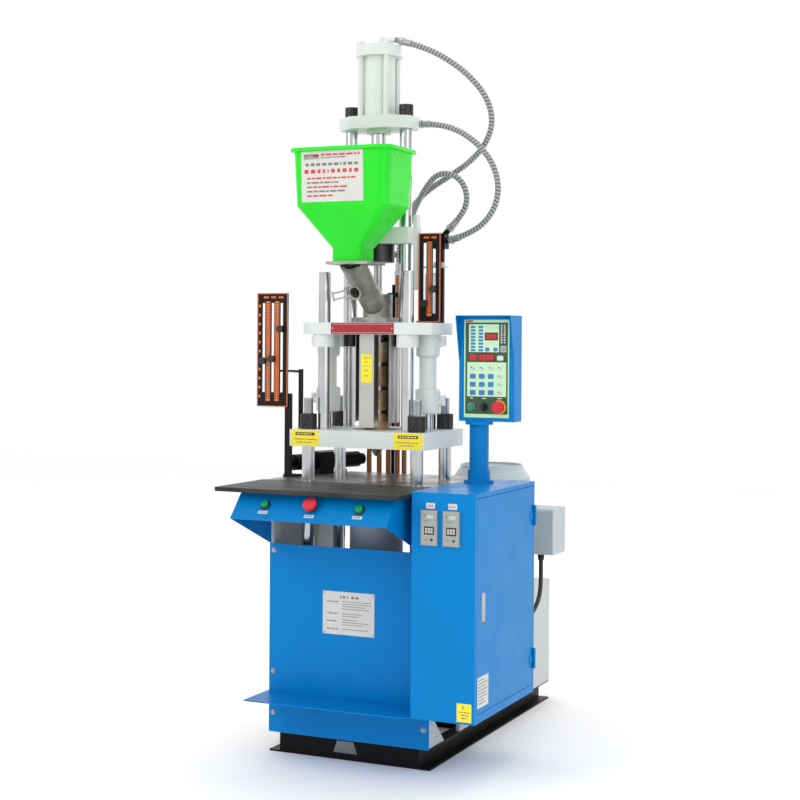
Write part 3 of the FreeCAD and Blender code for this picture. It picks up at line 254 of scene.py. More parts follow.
def stainedPlaten():
    # ground steel platen with brown tide marks and milling lines
    recipe = Recipe("stainedPlaten")
    stains = recipe.noise(6, 9, 0.66, distortion=0.8)
    lines = recipe.noise(1.0, 2, vector=recipe.stretched((700, 12, 30)))
    tone = recipe.ramp(stains, [(0.34, (0.16, 0.13, 0.11)), (0.46, (0.30, 0.28, 0.26)), (0.6, (0.46, 0.45, 0.44)),
                                (0.75, (0.58, 0.57, 0.56))])
    recipe.wire(tone, recipe.shader.inputs["Base Color"])
    recipe.setShader(Metallic=0.85)
    recipe.wire(recipe.spread(stains, 0.42, 0.22), recipe.shader.inputs["Roughness"])
    recipe.bump(lines, 0.00005)
    return recipe.material


def castMetal():
    # sand-cast aluminium, grey and pitted
    recipe = Recipe("castMetal")
    tone = recipe.ramp(recipe.noise(22, 8, 0.6), [(0.32, (0.20, 0.19, 0.17)), (0.55, (0.36, 0.35, 0.32)),
                                                  (0.75, (0.50, 0.49, 0.46))])
    recipe.wire(tone, recipe.shader.inputs["Base Color"])
    recipe.setShader(Metallic=0.8)
    recipe.wire(recipe.spread(recipe.noise(60, 5), 0.34, 0.58), recipe.shader.inputs["Roughness"])
    recipe.bump(recipe.noise(260, 6), 0.0006)
    return recipe.material


def greenMoulding():
    # translucent green polythene, thin enough to glow
    recipe = Recipe("greenMoulding")
    tone = recipe.ramp(recipe.noise(4, 3), [(0.3, (0.010, 0.64, 0.012)), (0.7, (0.016, 0.74, 0.020))])
    recipe.wire(tone, recipe.shader.inputs["Base Color"])
    recipe.wire(recipe.spread(recipe.noise(30, 4), 0.24, 0.34), recipe.shader.inputs["Roughness"])
    recipe.setShader(Subsurface_Weight=0.25, Subsurface_Scale=0.02, Subsurface_Radius=(0.3, 1.0, 0.3))
    recipe.setShader(Specular_IOR_Level=0.3)
    recipe.bump(recipe.noise(40, 1), 0.00012)
    return recipe.material


def plastic(name, colour, roughness=0.35, grain=0.0001, mottle=0.05):
    recipe = Recipe(name)
    tone = recipe.ramp(recipe.noise(18, 4), [(0.3, shade(colour, 1 - mottle)), (0.7, shade(colour, 1 + mottle))])
    recipe.wire(tone, recipe.shader.inputs["Base Color"])
    recipe.wire(recipe.spread(recipe.noise(40, 4), roughness - 0.05, roughness + 0.08),
                recipe.shader.inputs["Roughness"])
    recipe.bump(recipe.noise(600, 2), grain)
    return recipe.material


def heatBand():
    # heater band sheet, tinted brown and straw by the heat
    recipe = Recipe("heatBand")
    tone = recipe.ramp(recipe.noise(11, 7, 0.6), [(0.3, (0.13, 0.07, 0.04)), (0.5, (0.36, 0.25, 0.15)),
                                                  (0.72, (0.62, 0.50, 0.34))])
    recipe.wire(tone, recipe.shader.inputs["Base Color"])
    recipe.setShader(Metallic=0.7)
    recipe.wire(recipe.spread(recipe.noise(30, 5), 0.30, 0.52), recipe.shader.inputs["Roughness"])
    recipe.bump(recipe.noise(120, 4), 0.0002)
    return recipe.material


finishes = {
    "blue_paint": lambda: paint("bluePaint", (0.0004, 0.200, 0.540), 0.28, mottle=0.04, specular=0.10),
    "grey_paint": lambda: paint("greyPaint", (0.52, 0.545, 0.55), 0.42),
    "white_paint": lambda: paint("whitePaint", (0.68, 0.72, 0.69), 0.36),
    "skid_black": lambda: paint("skidBlack", (0.004, 0.004, 0.0045), 0.40, 0.0001, 0.3, 0.12),
    "black_oxide": lambda: metal("blackOxide", (0.05, 0.05, 0.052), 0.36),
    "table_grey": scuffedTable,
    "ground_steel": stainedPlaten,
    "hard_chrome": chromeFinish,
    "bright_sheet": lambda: metal("brightSheet", (0.50, 0.49, 0.475), 0.30, (160, 160, 4), depth=0.000002),
    "cast_metal": castMetal,
    "band_brass": heatBand,
    "pipe_brown": lambda: metal("pipeBrown", (0.30, 0.125, 0.055), 0.36, (30, 30, 60), (0.14, 0.055, 0.025)),
    "hopper_green": greenMoulding,
    "motor_grey": lambda: paint("motorGrey", (0.47, 0.54, 0.56), 0.40, 0.0002),
    "box_grey": lambda: paint("boxGrey", (0.27, 0.33, 0.36), 0.42, 0.0002),
    "timer_grey": lambda: plastic("timerGrey", (0.33, 0.35, 0.32), 0.45),
    "button_green": lambda: plastic("buttonGreen", (0.0, 0.27, 0.10), 0.22),
    "button_red": lambda: plastic("buttonRed", (0.62, 0.012, 0.022), 0.24),
    "knob_black": lambda: plastic("knobBlack", (0.016, 0.016, 0.016), 0.38),
    "ruler_orange": lambda: paint("rulerPlate", (0.012, 0.010, 0.010), 0.5, specular=0.15),
    "hose_grey": lambda: plastic("hoseRubber", (0.05, 0.05, 0.052), 0.5),
    "cable_black": lambda: plastic("cableBlack", (0.014, 0.014, 0.014), 0.45),
    "screw_steel": lambda: metal("screwSteel", (0.42, 0.42, 0.42), 0.30),
}
made = {}


def finish(name):
    if name not in made:
        made[name] = finishes[name]()
    return made[name]


def dressFrame():
    slots = {part["node"]: part["material_slot"] for part in frame["record"]["subparts"]}
    for node, piece in frame["nodes"].items():
        piece.data.materials.clear()
        piece.data.materials.append(finish(slots[node]))


dressFrame()
print("frame dressed in", len(made), "finishes")

# hoses and cables: control points of each line, in millimetres, from the frame's own routes

hoseRoutes = {
    "topHose": {
        "node": "top_hose", "bodies": ("carriage", "clamp"), "diameter": 18, "stiffness": "medium",
        "points": [(54, -324, 2123), (122, -322, 2104), (200, -314, 2068), (276, -298, 2012), (330, -278, 1944),
                   (343, -256, 1874), (312, -232, 1812), (252, -208, 1762), (172, -186, 1722), (92, -162, 1686),
                   (20, -122, 1640), (-40, -72, 1576), (-70, -24, 1502), (-70, -24, 1430)],
        "bendFrom": (60, -150, 1680), "bendTo": (-66, -30, 1440)},
    "plateHose": {
        "node": "plate_hose", "bodies": ("carriage",), "diameter": 18, "stiffness": "medium",
        "points": [(104, -262, 1876), (172, -266, 1872), (246, -274, 1846), (314, -278, 1796), (360, -276, 1728),
                   (368, -270, 1652), (336, -260, 1588), (272, -244, 1544), (193, -226, 1524)]},
    "loopHose": {
        "node": "loop_hose", "bodies": ("clamp", "carriage"), "diameter": 18, "stiffness": "limp",
        "points": [(-46, -24, 1430), (-46, -24, 1500), (-22, -66, 1558), (16, -118, 1606), (60, -166, 1650),
                   (106, -204, 1694), (150, -226, 1727), (202, -230, 1726), (240, -228, 1692), (249, -222, 1641),
                   (224, -216, 1596), (184, -213, 1558)],
        "bendFrom": (-46, -24, 1440), "bendTo": (60, -166, 1650)},
    "hoseSleeve": {
        "node": "hose_sleeve", "bodies": ("clamp", "root"), "diameter": 26, "stiffness": "medium",
        "points": [(-110, -24, 585), (-110, -24, 500), (-116, -27, 400), (-110, -26, 300), (-91, -25, 228),
                   (-38, -25, 174), (35, -25, 155), (107, -25, 175), (160, -24, 228), (180, -24, 301),
                   (180, -24, 380)],
        "bendFrom": (-110, -24, 560), "bendTo": (-110, -24, 230)},
    "motorCable": {
        "node": "motor_cable", "bodies": ("root",), "diameter": 14, "stiffness": "medium",
        "points": [(332, 220, 535), (334, 216, 470), (346, 176, 412), (352, 112, 372), (346, 40, 350),
                   (336, -36, 338), (330, -104, 331), (330, -170, 330)]},
}


def splineOf(name, points):
    curve = bpy.data.curves.new(name, "CURVE")
    curve.dimensions = "3D"
    curve.resolution_u = 10
    spline = curve.splines.new("NURBS")
    spline.points.add(len(points) - 1)
    for point, place in zip(spline.points, points):
        point.co = (*(Vector(place) * mm), 1)
    spline.order_u = 3
    spline.use_endpoint_u = True
    return curve


def lineOf(curve):
    # points along the smooth line, and its length
    bare = curve.copy()
    bare.bevel_depth = 0
    holder = bpy.data.objects.new("line", bare)
    bpy.context.scene.collection.objects.link(holder)
    bpy.context.view_layer.update()
    mesh = bpy.data.meshes.new_from_object(holder.evaluated_get(bpy.context.evaluated_depsgraph_get()))
    line = [vertex.co.copy() for vertex in mesh.vertices]
    bpy.data.objects.remove(holder)
    bpy.data.meshes.remove(mesh)
    bpy.data.curves.remove(bare)
    return line, sum((b - a).length for a, b in zip(line, line[1:]))


def evenly(line, step):
    # the same line in steps of equal length
    places, rest = [line[0].copy()], 0.0
    for a, b in zip(line, line[1:]):
        run = (b - a).length
        while rest + run >= step * len(places):
            places.append(a.lerp(b, (step * len(places) - rest) / run))
        rest += run
    return places


def framesAlong(line):
    # a tangent and two even crosswise directions at each point
    tangents = []
    for i in range(len(line)):
        tangents.append((line[min(i + 1, len(line) - 1)] - line[max(i - 1, 0)]).normalized())
    side = tangents[0].orthogonal().normalized()
    frames = []
    for tangent in tangents:
        side = (side - tangent * side.dot(tangent)).normalized()
        frames.append((tangent, side, tangent.cross(side)))
    return frames


def tubeMesh(name, line, radius, sides, material):
    # radius is one number or a function of the distance along the line; u and v are kept for the finish
    form = bmesh.new()
    layer = form.loops.layers.uv.new("along")
    rings, travelled = [], 0.0
    lengths = []
    for i, (place, (tangent, side, other)) in enumerate(zip(line, framesAlong(line))):
        if i:
            travelled += (place - line[i - 1]).length
        r = radius(travelled) if callable(radius) else radius
        lengths.append(travelled)
        rings.append([form.verts.new(place + r * (side * math.cos(turn) + other * math.sin(turn)))
                      for turn in (2 * math.pi * k / sides for k in range(sides))])
    for i, (low, high) in enumerate(zip(rings, rings[1:])):
        for k in range(sides):
            n = (k + 1) % sides
            face = form.faces.new((low[k], low[n], high[n], high[k]))
            face.smooth = True
            for loop, (u, v) in zip(face.loops, ((k, i), (k + 1, i), (k + 1, i + 1), (k, i + 1))):
                loop[layer].uv = (u / sides, lengths[v])
    form.faces.new(list(reversed(rings[0])))
    form.faces.new(rings[-1])
    mesh = bpy.data.meshes.new(name)
    form.to_mesh(mesh)
    form.free()
    mesh.materials.append(material)
    piece = bpy.data.objects.new(name, mesh)
    bpy.context.scene.collection.objects.link(piece)
    return piece


spiralGuard = {"pitch": 10.5, "wrapWidth": 0.6, "wrapRise": 0.9, "stepsPerPitch": 10, "sides": 28}


def guardFinish():
    # grey spiral wrap over a darker hose, turned round the line: a light band with two fine flutes, lighter on its
    # crests and darker in the flutes and at its edges as painted highlight and painted shade
    recipe = Recipe("spiralGuard")
    uv = recipe.add("ShaderNodeUVMap", uv_map="along")
    split = recipe.add("ShaderNodeSeparateXYZ")
    recipe.wire(uv.outputs["UV"], split.inputs["Vector"])
    turns = recipe.add("ShaderNodeMath", operation="MULTIPLY_ADD")
    recipe.wire(split.outputs["Y"], turns.inputs[0])
    turns.inputs[1].default_value = 1 / (spiralGuard["pitch"] * mm)
    recipe.wire(split.outputs["X"], turns.inputs[2])
    phase = recipe.add("ShaderNodeMath", operation="FRACT")
    recipe.wire(turns.outputs["Value"], phase.inputs[0])
    # the ramp paints highlight on the band's crests and shade in its flutes and at its edges; the dark gap is the
    # darker hose
    tone = recipe.ramp(phase.outputs["Value"], [
        (0.0, (0.13, 0.13, 0.135)), (0.08, (0.27, 0.275, 0.29)), (0.14, (0.42, 0.43, 0.45)),
        (0.34, (0.30, 0.31, 0.325)), (0.40, (0.44, 0.45, 0.47)), (0.56, (0.36, 0.37, 0.385)),
        (0.64, (0.18, 0.18, 0.19)), (0.74, (0.12, 0.12, 0.125))])
    recipe.wire(tone, recipe.shader.inputs["Base Color"])
    recipe.wire(recipe.spread(recipe.noise(60, 4), 0.30, 0.46), recipe.shader.inputs["Roughness"])
    recipe.bump(recipe.noise(900, 2), 0.0001)
    return recipe.material


def spiralHose(name, line, diameter, material):
    # the guard's section turns with the line, so its edge runs round it as a raised spiral
    radius = diameter / 2 * mm
    sides = spiralGuard["sides"]
    pitch = spiralGuard["pitch"] * mm
    rise = spiralGuard["wrapRise"] * mm
    width = spiralGuard["wrapWidth"]
    line = evenly(line, pitch / spiralGuard["stepsPerPitch"])
    piece = tubeMesh(name, line, radius, sides, material)
    travelled = 0.0
    places = [vertex.co.copy() for vertex in piece.data.vertices]
    for i, place in enumerate(line):
        travelled += (place - line[i - 1]).length if i else 0
        for k in range(sides):
            phase = (travelled / pitch + k / sides) % 1
            sink = 0 if 0.06 < phase < width else rise
            vertex = places[i * sides + k]
            piece.data.vertices[i * sides + k].co = vertex + (place - vertex).normalized() * sink
    return piece


def hose(name):
    route = hoseRoutes[name]
    curve = splineOf(name, route["points"])
    line, length = lineOf(curve)
    bpy.data.curves.remove(curve)
    radius = route["diameter"] / 2 * mm
    if name == "motorCable":
        piece = tubeMesh(name, evenly(line, 0.004), radius * 0.98, 20, finish("cable_black"))
    else:
        piece = spiralHose(name, line, route["diameter"], finish("spiral_guard"))
    path = [tuple(place) for place in evenly(line, 0.006)] + [tuple(line[-1])]
    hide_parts(route["node"])
    bodies = route["bodies"]
    if len(bodies) == 2:
        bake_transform(piece)
    else:
        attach(piece, bodies[0])
    tuple(line[0])
    return line


finishes["spiral_guard"] = guardFinish
hoseLines = {name: hose(name) for name in hoseRoutes}
print("hoses run", {name: len(line) for name, line in hoseLines.items()})


# shapes set on a face of the machine: x runs right, y runs down from the face's origin, heights stand off it


class Face:
    def __init__(self, origin, right, down):
        self.origin = Vector(origin)
        self.right = Vector(right).normalized()
        self.down = Vector(down).normalized()
        self.out = self.down.cross(self.right).normalized()

    def at(self, x, y, height=0.0):
        return (self.origin + self.right * x + self.down * y + self.out * height) * mm


def frontFace(x, y, z):
    return Face((x, y, z), (1, 0, 0), (0, 0, -1))


def rightFace(x, y, z):
    return Face((x, y, z), (0, 1, 0), (0, 0, -1))


def settle(form, body):
    mesh = bpy.data.meshes.new(form.name)
    form.mesh.to_mesh(mesh)
    form.mesh.free()
    for finishName in form.used:
        mesh.materials.append(finish(finishName))
    piece = bpy.data.objects.new(form.name, mesh)
    bpy.context.scene.collection.objects.link(piece)
    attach(piece, body)
    return piece


class Form:
    # one piece built up from shapes, each in its own finish
    def __init__(self, name):
        self.name = name
        self.mesh = bmesh.new()
        self.used = []

    def index(self, finishName):
        if finishName not in self.used:
            self.used.append(finishName)
        return self.used.index(finishName)

    def rings(self, rows, finishName, smooth=False):
        made = [[self.mesh.verts.new(place) for place in row] for row in rows]
        faces = []
        for low, high in zip(made, made[1:]):
            for k in range(len(low)):
                n = (k + 1) % len(low)
                faces.append(self.mesh.faces.new((low[k], low[n], high[n], high[k])))
                faces[-1].smooth = smooth
        faces.append(self.mesh.faces.new(list(reversed(made[0]))))
        faces.append(self.mesh.faces.new(made[-1]))
        for each in faces:
            each.material_index = self.index(finishName)

    def tile(self, face, left, right, top, bottom, low, high, finishName, corner=1.0, bevel=0.4):
        # rounded plate with a softened rim
        def outline(inset, height):
            r = max(corner - inset, 0.01)
            x0, x1, y0, y1 = left + inset + r, right - inset - r, top + inset + r, bottom - inset - r
            places = []
            for cx, cy, start in ((x1, y0, -90), (x1, y1, 0), (x0, y1, 90), (x0, y0, 180)):
                for k in range(4):
                    turn = math.radians(start + 30 * k)
                    places.append(face.at(cx + r * math.cos(turn), cy + r * math.sin(turn), height))
            return places
        self.rings([outline(0, low), outline(0, high - bevel), outline(bevel * 0.3, high - bevel * 0.3),
                    outline(bevel, high)], finishName)

    def turned(self, face, x, y, profile, finishName, sides=32, phase=0.0):
        # profile runs through pairs of height and radius
        self.rings([[face.at(x + r * math.cos(phase + 2 * math.pi * k / sides),
                             y + r * math.sin(phase + 2 * math.pi * k / sides), height) for k in range(sides)]
                    for height, r in profile], finishName, smooth=sides > 8)

    def screw(self, face, x, y, radius, finishName="black_oxide", rise=2.2):
        self.turned(face, x, y, [(-0.5, radius), (rise * 0.55, radius), (rise * 0.85, radius * 0.86),
                                 (rise, radius * 0.6), (rise, radius * 0.32), (rise - 1.1, radius * 0.28)],
                    finishName, 24)

    def tube(self, face, x, y, inner, outer, low, high, finishName, sides=40):
        soft = min(0.8, (outer - inner) / 3)
        self.turned(face, x, y, [(low, outer), (high - soft, outer), (high, outer - soft), (high, inner + soft),
                                 (high - soft, inner), (low, inner)], finishName, sides)

    def place(self, body, slotName):
        bmesh.ops.recalc_face_normals(self.mesh, faces=self.mesh.faces)
        return settle(self, body)


def nodeSurface(node):
    piece = frame["nodes"][node]
    places = [piece.matrix_world @ vertex.co for vertex in piece.data.vertices]
    return BVHTree.FromPolygons(places, [tuple(each.vertices) for each in piece.data.polygons])


class Print:
    # flat printed fields that follow a node's surface, each a little above the one beneath
    def __init__(self, name, node, face):
        self.form = Form(name)
        self.face = face
        self.surface = nodeSurface(node)

    def lay(self, x, y, lift):
        start = self.face.at(x, y, 60)
        place = self.surface.ray_cast(start, -self.face.out, 0.12)[0]
        return (place or self.face.at(x, y, 0)) + self.face.out * lift * mm

    def field(self, left, right, top, bottom, finishName, level=0, cells=(1, 1)):
        lift = 0.25 + 0.14 * level
        columns = [left + (right - left) * i / cells[0] for i in range(cells[0] + 1)]
        rows = [top + (bottom - top) * j / cells[1] for j in range(cells[1] + 1)]
        grid = [[self.form.mesh.verts.new(self.lay(x, y, lift)) for x in columns] for y in rows]
        for j in range(cells[1]):
            for i in range(cells[0]):
                corners = grid[j][i], grid[j + 1][i], grid[j + 1][i + 1], grid[j][i + 1]
                cell = self.form.mesh.faces.new(corners)
                cell.material_index = self.form.index(finishName)

    def words(self, left, right, top, height, finishName, seed, level=1, fill=0.9, mean=3.2):
        # a row of plain dashes, as far as the share of the row that it fills
        chance = random.Random(seed)
        x = left
        while x < left + (right - left) * fill:
            run = min(height * mean * chance.uniform(0.4, 1.6), right - x)
            self.field(x, x + run, top, top + height, finishName, level)
            x += run + height * 0.7

    def place(self, body, slotName):
        return settle(self.form, body)


def repeatTree():
    # copies of the piece's own mesh along a line, each turned a step further, joined and given one finish
    tree = bpy.data.node_groups.new("repeat", "GeometryNodeTree")
    face = tree.interface
    face.new_socket("Geometry", in_out="INPUT", socket_type="NodeSocketGeometry")
    face.new_socket("Count", in_out="INPUT", socket_type="NodeSocketInt")
    face.new_socket("Step", in_out="INPUT", socket_type="NodeSocketVector")
    face.new_socket("Turn", in_out="INPUT", socket_type="NodeSocketVector")
    face.new_socket("Centre", in_out="INPUT", socket_type="NodeSocketVector")
    face.new_socket("Finish", in_out="INPUT", socket_type="NodeSocketMaterial")
    face.new_socket("Geometry", in_out="OUTPUT", socket_type="NodeSocketGeometry")
    add = tree.nodes.new
    given, result = add("NodeGroupInput"), add("NodeGroupOutput")
    line, index, turn = add("GeometryNodeMeshLine"), add("GeometryNodeInputIndex"), add("ShaderNodeVectorMath")
    turn.operation = "SCALE"
    back, instance = add("GeometryNodeTransform"), add("GeometryNodeInstanceOnPoints")
    minus = add("ShaderNodeVectorMath")
    minus.operation = "SCALE"
    minus.inputs["Scale"].default_value = -1
    realize, dress = add("GeometryNodeRealizeInstances"), add("GeometryNodeSetMaterial")
    wire = tree.links.new
    wire(given.outputs["Count"], line.inputs["Count"])
    wire(given.outputs["Step"], line.inputs["Offset"])
    wire(given.outputs["Centre"], line.inputs["Start Location"])
    wire(given.outputs["Centre"], minus.inputs[0])
    wire(minus.outputs["Vector"], back.inputs["Translation"])
    wire(given.outputs["Geometry"], back.inputs["Geometry"])
    wire(given.outputs["Turn"], turn.inputs[0])
    wire(index.outputs["Index"], turn.inputs["Scale"])
    wire(line.outputs["Mesh"], instance.inputs["Points"])
    wire(back.outputs["Geometry"], instance.inputs["Instance"])
    wire(turn.outputs["Vector"], instance.inputs["Rotation"])
    wire(instance.outputs["Instances"], realize.inputs["Geometry"])
    wire(realize.outputs["Geometry"], dress.inputs["Geometry"])
    wire(given.outputs["Finish"], dress.inputs["Material"])
    wire(dress.outputs["Geometry"], result.inputs["Geometry"])
    return tree


repeat = repeatTree()
still = (0, 0, 0)


def repeated(form, body, finishName, runs):
    # runs is a list of count, step, turn and centre, each run repeating what the one before has made
    bmesh.ops.recalc_face_normals(form.mesh, faces=form.mesh.faces)
    mesh = bpy.data.meshes.new(form.name)
    form.mesh.to_mesh(mesh)
    form.mesh.free()
    piece = bpy.data.objects.new(form.name, mesh)
    bpy.context.scene.collection.objects.link(piece)
    sockets = {each.name: each.identifier for each in repeat.interface.items_tree if each.in_out == "INPUT"}
    for count, step, turn, centre in runs:
        modifier = piece.modifiers.new("repeat", "NODES")
        modifier.node_group = repeat
        modifier[sockets["Count"]] = count
        modifier[sockets["Step"]] = tuple(Vector(step) * mm)
        modifier[sockets["Turn"]] = tuple(math.radians(each) for each in turn)
        modifier[sockets["Centre"]] = tuple(Vector(centre) * mm)
        modifier[sockets["Finish"]] = finish(finishName)
        bpy.context.view_layer.update()
        plain = bpy.data.meshes.new_from_object(piece.evaluated_get(bpy.context.evaluated_depsgraph_get()))
        piece.modifiers.remove(modifier)
        piece.data = plain
    piece.data.name = form.name
    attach(piece, body)
    return piece


finishes.update({
    "label_white": lambda: plastic("labelWhite", (0.62, 0.62, 0.58), 0.40, 0.00002, 0.03),
    "label_yellow": lambda: plastic("labelYellow", (0.90, 0.76, 0.012), 0.34, 0.00002, 0.03),
    "print_red": lambda: plastic("printRed", (0.62, 0.03, 0.03), 0.34, 0.00002, 0.05),
    "print_grey": lambda: plastic("printGrey", (0.16, 0.17, 0.18), 0.34, 0.00002, 0.08),
    "name_red": lambda: plastic("nameRed", (0.36, 0.010, 0.022), 0.28, 0.00004, 0.08),
    "scale_orange": lambda: plastic("scaleOrange", (0.80, 0.17, 0.035), 0.42, 0.00003, 0.06),
    # black print ink, also used as painted shade in the duct slots and the tie-bar nut slots
    "ink_and_shade_black": lambda: plastic("inkAndShadeBlack", (0.018, 0.016, 0.015), 0.42, 0.00003, 0.1),
    "panel_dark": lambda: plastic("panelDark", (0.027, 0.075, 0.036), 0.32, 0.00003, 0.06),
    "panel_pale": lambda: plastic("panelPale", (0.54, 0.84, 0.50), 0.32, 0.00003, 0.03),
    "key_blue": lambda: plastic("keyBlue", (0.045, 0.19, 0.52), 0.30, 0.00003, 0.05),
    "key_pale": lambda: plastic("keyPale", (0.62, 0.72, 0.62), 0.30, 0.00003, 0.04),
    "display_red": lambda: plastic("displayRed", (0.34, 0.006, 0.016), 0.14, 0.00001, 0.08),
    "digit_red": lambda: plastic("digitRed", (1.0, 0.10, 0.08), 0.3, 0.00001, 0.02),
    "window_grey": lambda: plastic("windowGrey", (0.50, 0.52, 0.48), 0.16, 0.00001, 0.05),
    "ring_yellow": lambda: plastic("ringYellow", (0.85, 0.44, 0.01), 0.32, 0.00003, 0.05),
})

# hose ends

hoseEnds = {
    "topHoseUpper": ("topHose", "start", "carriage", 14.0, 3.0), "topHoseLower": ("topHose", "end", "clamp"),
    "plateHoseUpper": ("plateHose", "start", "carriage"), "plateHoseLower": ("plateHose", "end", "carriage"),
    "loopHoseLower": ("loopHose", "start", "clamp"), "loopHoseUpper": ("loopHose", "end", "carriage"),
    "sleeveUpper": ("hoseSleeve", "start", "clamp"), "sleeveLower": ("hoseSleeve", "end", "root"),
    "cableUpper": ("motorCable", "start", "root"), "cableLower": ("motorCable", "end", "root"),
}


def hoseEnd(name, route, which, body, along=0.0, wider=4.2):
    line = hoseLines[route] if which == "start" else list(reversed(hoseLines[route]))
    radius = hoseRoutes[route]["diameter"] / 2
    places = evenly(line, 0.0005)
    first = int(along / 0.5)
    tangent = (places[first + 20] - places[first]).normalized()
    side = tangent.orthogonal().normalized()
    face = Face(places[first] / mm, side, -tangent.cross(side))
    ferrule = Form(name)
    if route == "motorCable":
        ferrule.turned(face, 0, 0, [(0, radius + 5), (8, radius + 5), (9, radius + 4)], "knob_black", 6)
        ferrule.turned(face, 0, 0, [(9, radius + 3.5), (18, radius + 3), (22, radius + 1.2), (22, radius - 1)],
                       "knob_black")
        ferrule.place(body, "knob_black")
        return
    flats = radius + wider
    ferrule.turned(face, 0, 0, [(0, flats - 0.8), (1, flats), (12, flats), (13, flats - 1)],
                   "screw_steel", 6)
    crimp = [(13, radius + 0.8), (16, radius + 1.8)]
    for z in (19, 25, 31):
        crimp += [(z, radius + 1.8), (z + 1, radius + 1.1), (z + 3, radius + 1.1), (z + 4, radius + 1.8)]
    ferrule.turned(face, 0, 0, crimp + [(38, radius + 1.6), (39, radius + 0.6), (39, radius - 1)], "screw_steel")
    ferrule.place(body, "screw_steel")


for endName, given in hoseEnds.items():
    hoseEnd(endName, *given)
print("hose ends fitted")

# plates and labels on the injection unit

hopperLabel = {"left": -120, "top": 1765, "width": 198, "height": 146}


def dressHopper():
    width, height = hopperLabel["width"], hopperLabel["height"]
    label = Print("hopperLabel", "hopper", frontFace(hopperLabel["left"], -600, hopperLabel["top"]))
    label.field(0, width, 0, height, "label_white", 0, (10, 8))
    label.field(8, 58, 9, 24, "print_red")
    label.words(64, width - 8, 9, 5.5, "print_red", 3, fill=0.96)
    label.words(64, width - 8, 18, 3.6, "print_grey", 4, fill=0.5)
    label.words(14, width - 10, 35, 8, "print_grey", 5, fill=0.9, mean=1.2)
    label.words(10, width - 10, 53, 11, "print_red", 6, fill=0.96, mean=0.9)
    for row, fill in enumerate((0.95, 0.55, 0.7, 0.62, 0.5)):
        ink = "print_grey" if row % 2 else "print_red"
        label.words(18, width - 14, 76 + row * 12.5, 5, ink, 7 + row, fill=fill)
    label.place("carriage", "hopper_green")


def namePlate():
    face = frontFace(-96, -444, 1273)
    plate = Form("namePlate")
    plate.tile(face, 0, 205, 0, 33, -0.2, 2.0, "name_red", 1.5, 0.5)
    plate.tile(face, 5, 200, 3.5, 4.4, 1.8, 2.15, "label_white", 0.2, 0.1)
    plate.tile(face, 5, 200, 28.6, 29.5, 1.8, 2.15, "label_white", 0.2, 0.1)
    for x in (6, 199):
        plate.screw(face, x, 16.5, 3.0, "screw_steel", 3.4)
    plate.place("carriage", "button_red")


def clampLabels():
    for name, left in (("clampLabelLeft", -214), ("clampLabelRight", 122)):
        label = Print(name, "clamp_platen", frontFace(left, -470, 953))
        label.field(0, 92, 0, 46, "label_yellow", 0, (4, 2))
        label.field(14, 78, 6, 15, "ink_and_shade_black", 1)
        label.words(19, 73, 8.5, 4, "label_yellow", left, 2, 0.95, 1.4)
        label.words(8, 84, 25, 3.4, "print_grey", left + 2, 1, 0.95, 1.3)
        label.words(16, 76, 34, 3.4, "print_grey", left + 5, 1, 0.8, 1.3)
        label.place("clamp", "white_paint")


def coverLabel():
    label = Print("coverLabel", "heater_guards", frontFace(-18, -400, 1180))
    label.field(0, 36, 0, 84, "label_yellow", 0, (2, 4))
    label.words(4, 32, 34, 1.4, "print_grey", 2, 1, 0.98, 8)
    label.words(8, 30, 8, 5, "print_grey", 3, 1, 0.9, 0.7)
    label.words(13, 24, 20, 5, "print_grey", 4, 1, 0.9, 0.7)
    label.words(12, 26, 46, 4, "print_grey", 5, 1, 0.9, 0.8)
    label.words(12, 26, 62, 4, "print_grey", 6, 1, 0.9, 0.8)
    label.place("carriage", "bright_sheet")


dressHopper()
namePlate()
clampLabels()
coverLabel()
print("injection unit labelled")

# console, front panel and cabinet

consoleTop = Vector((0, -719.7, 753.0))
consoleButtons = {"left": -159, "middle": -11, "right": 137}


def dressConsole():
    slope = Vector((0, -0.6706, -0.7418))
    for name, x in consoleButtons.items():
        face = Face(consoleTop + Vector((x, 0, 0)), (1, 0, 0), slope)
        bezel = Form(name + "ButtonBezel")
        bezel.tube(face, 0, 0, 11.4, 15, -0.3, 3.4 if name != "middle" else 3.0, "knob_black")
        bezel.place("root", "knob_black")
        label = Print(name + "ButtonLabel", "console", face)
        top = 19 if name != "middle" else 24
        label.field(-15, 15, top, top + 10, "label_white")
        label.words(-11, 12, top + 2.6, 4.4, "print_grey", x, 1, 0.9, 0.9)
        label.place("root", "white_paint")


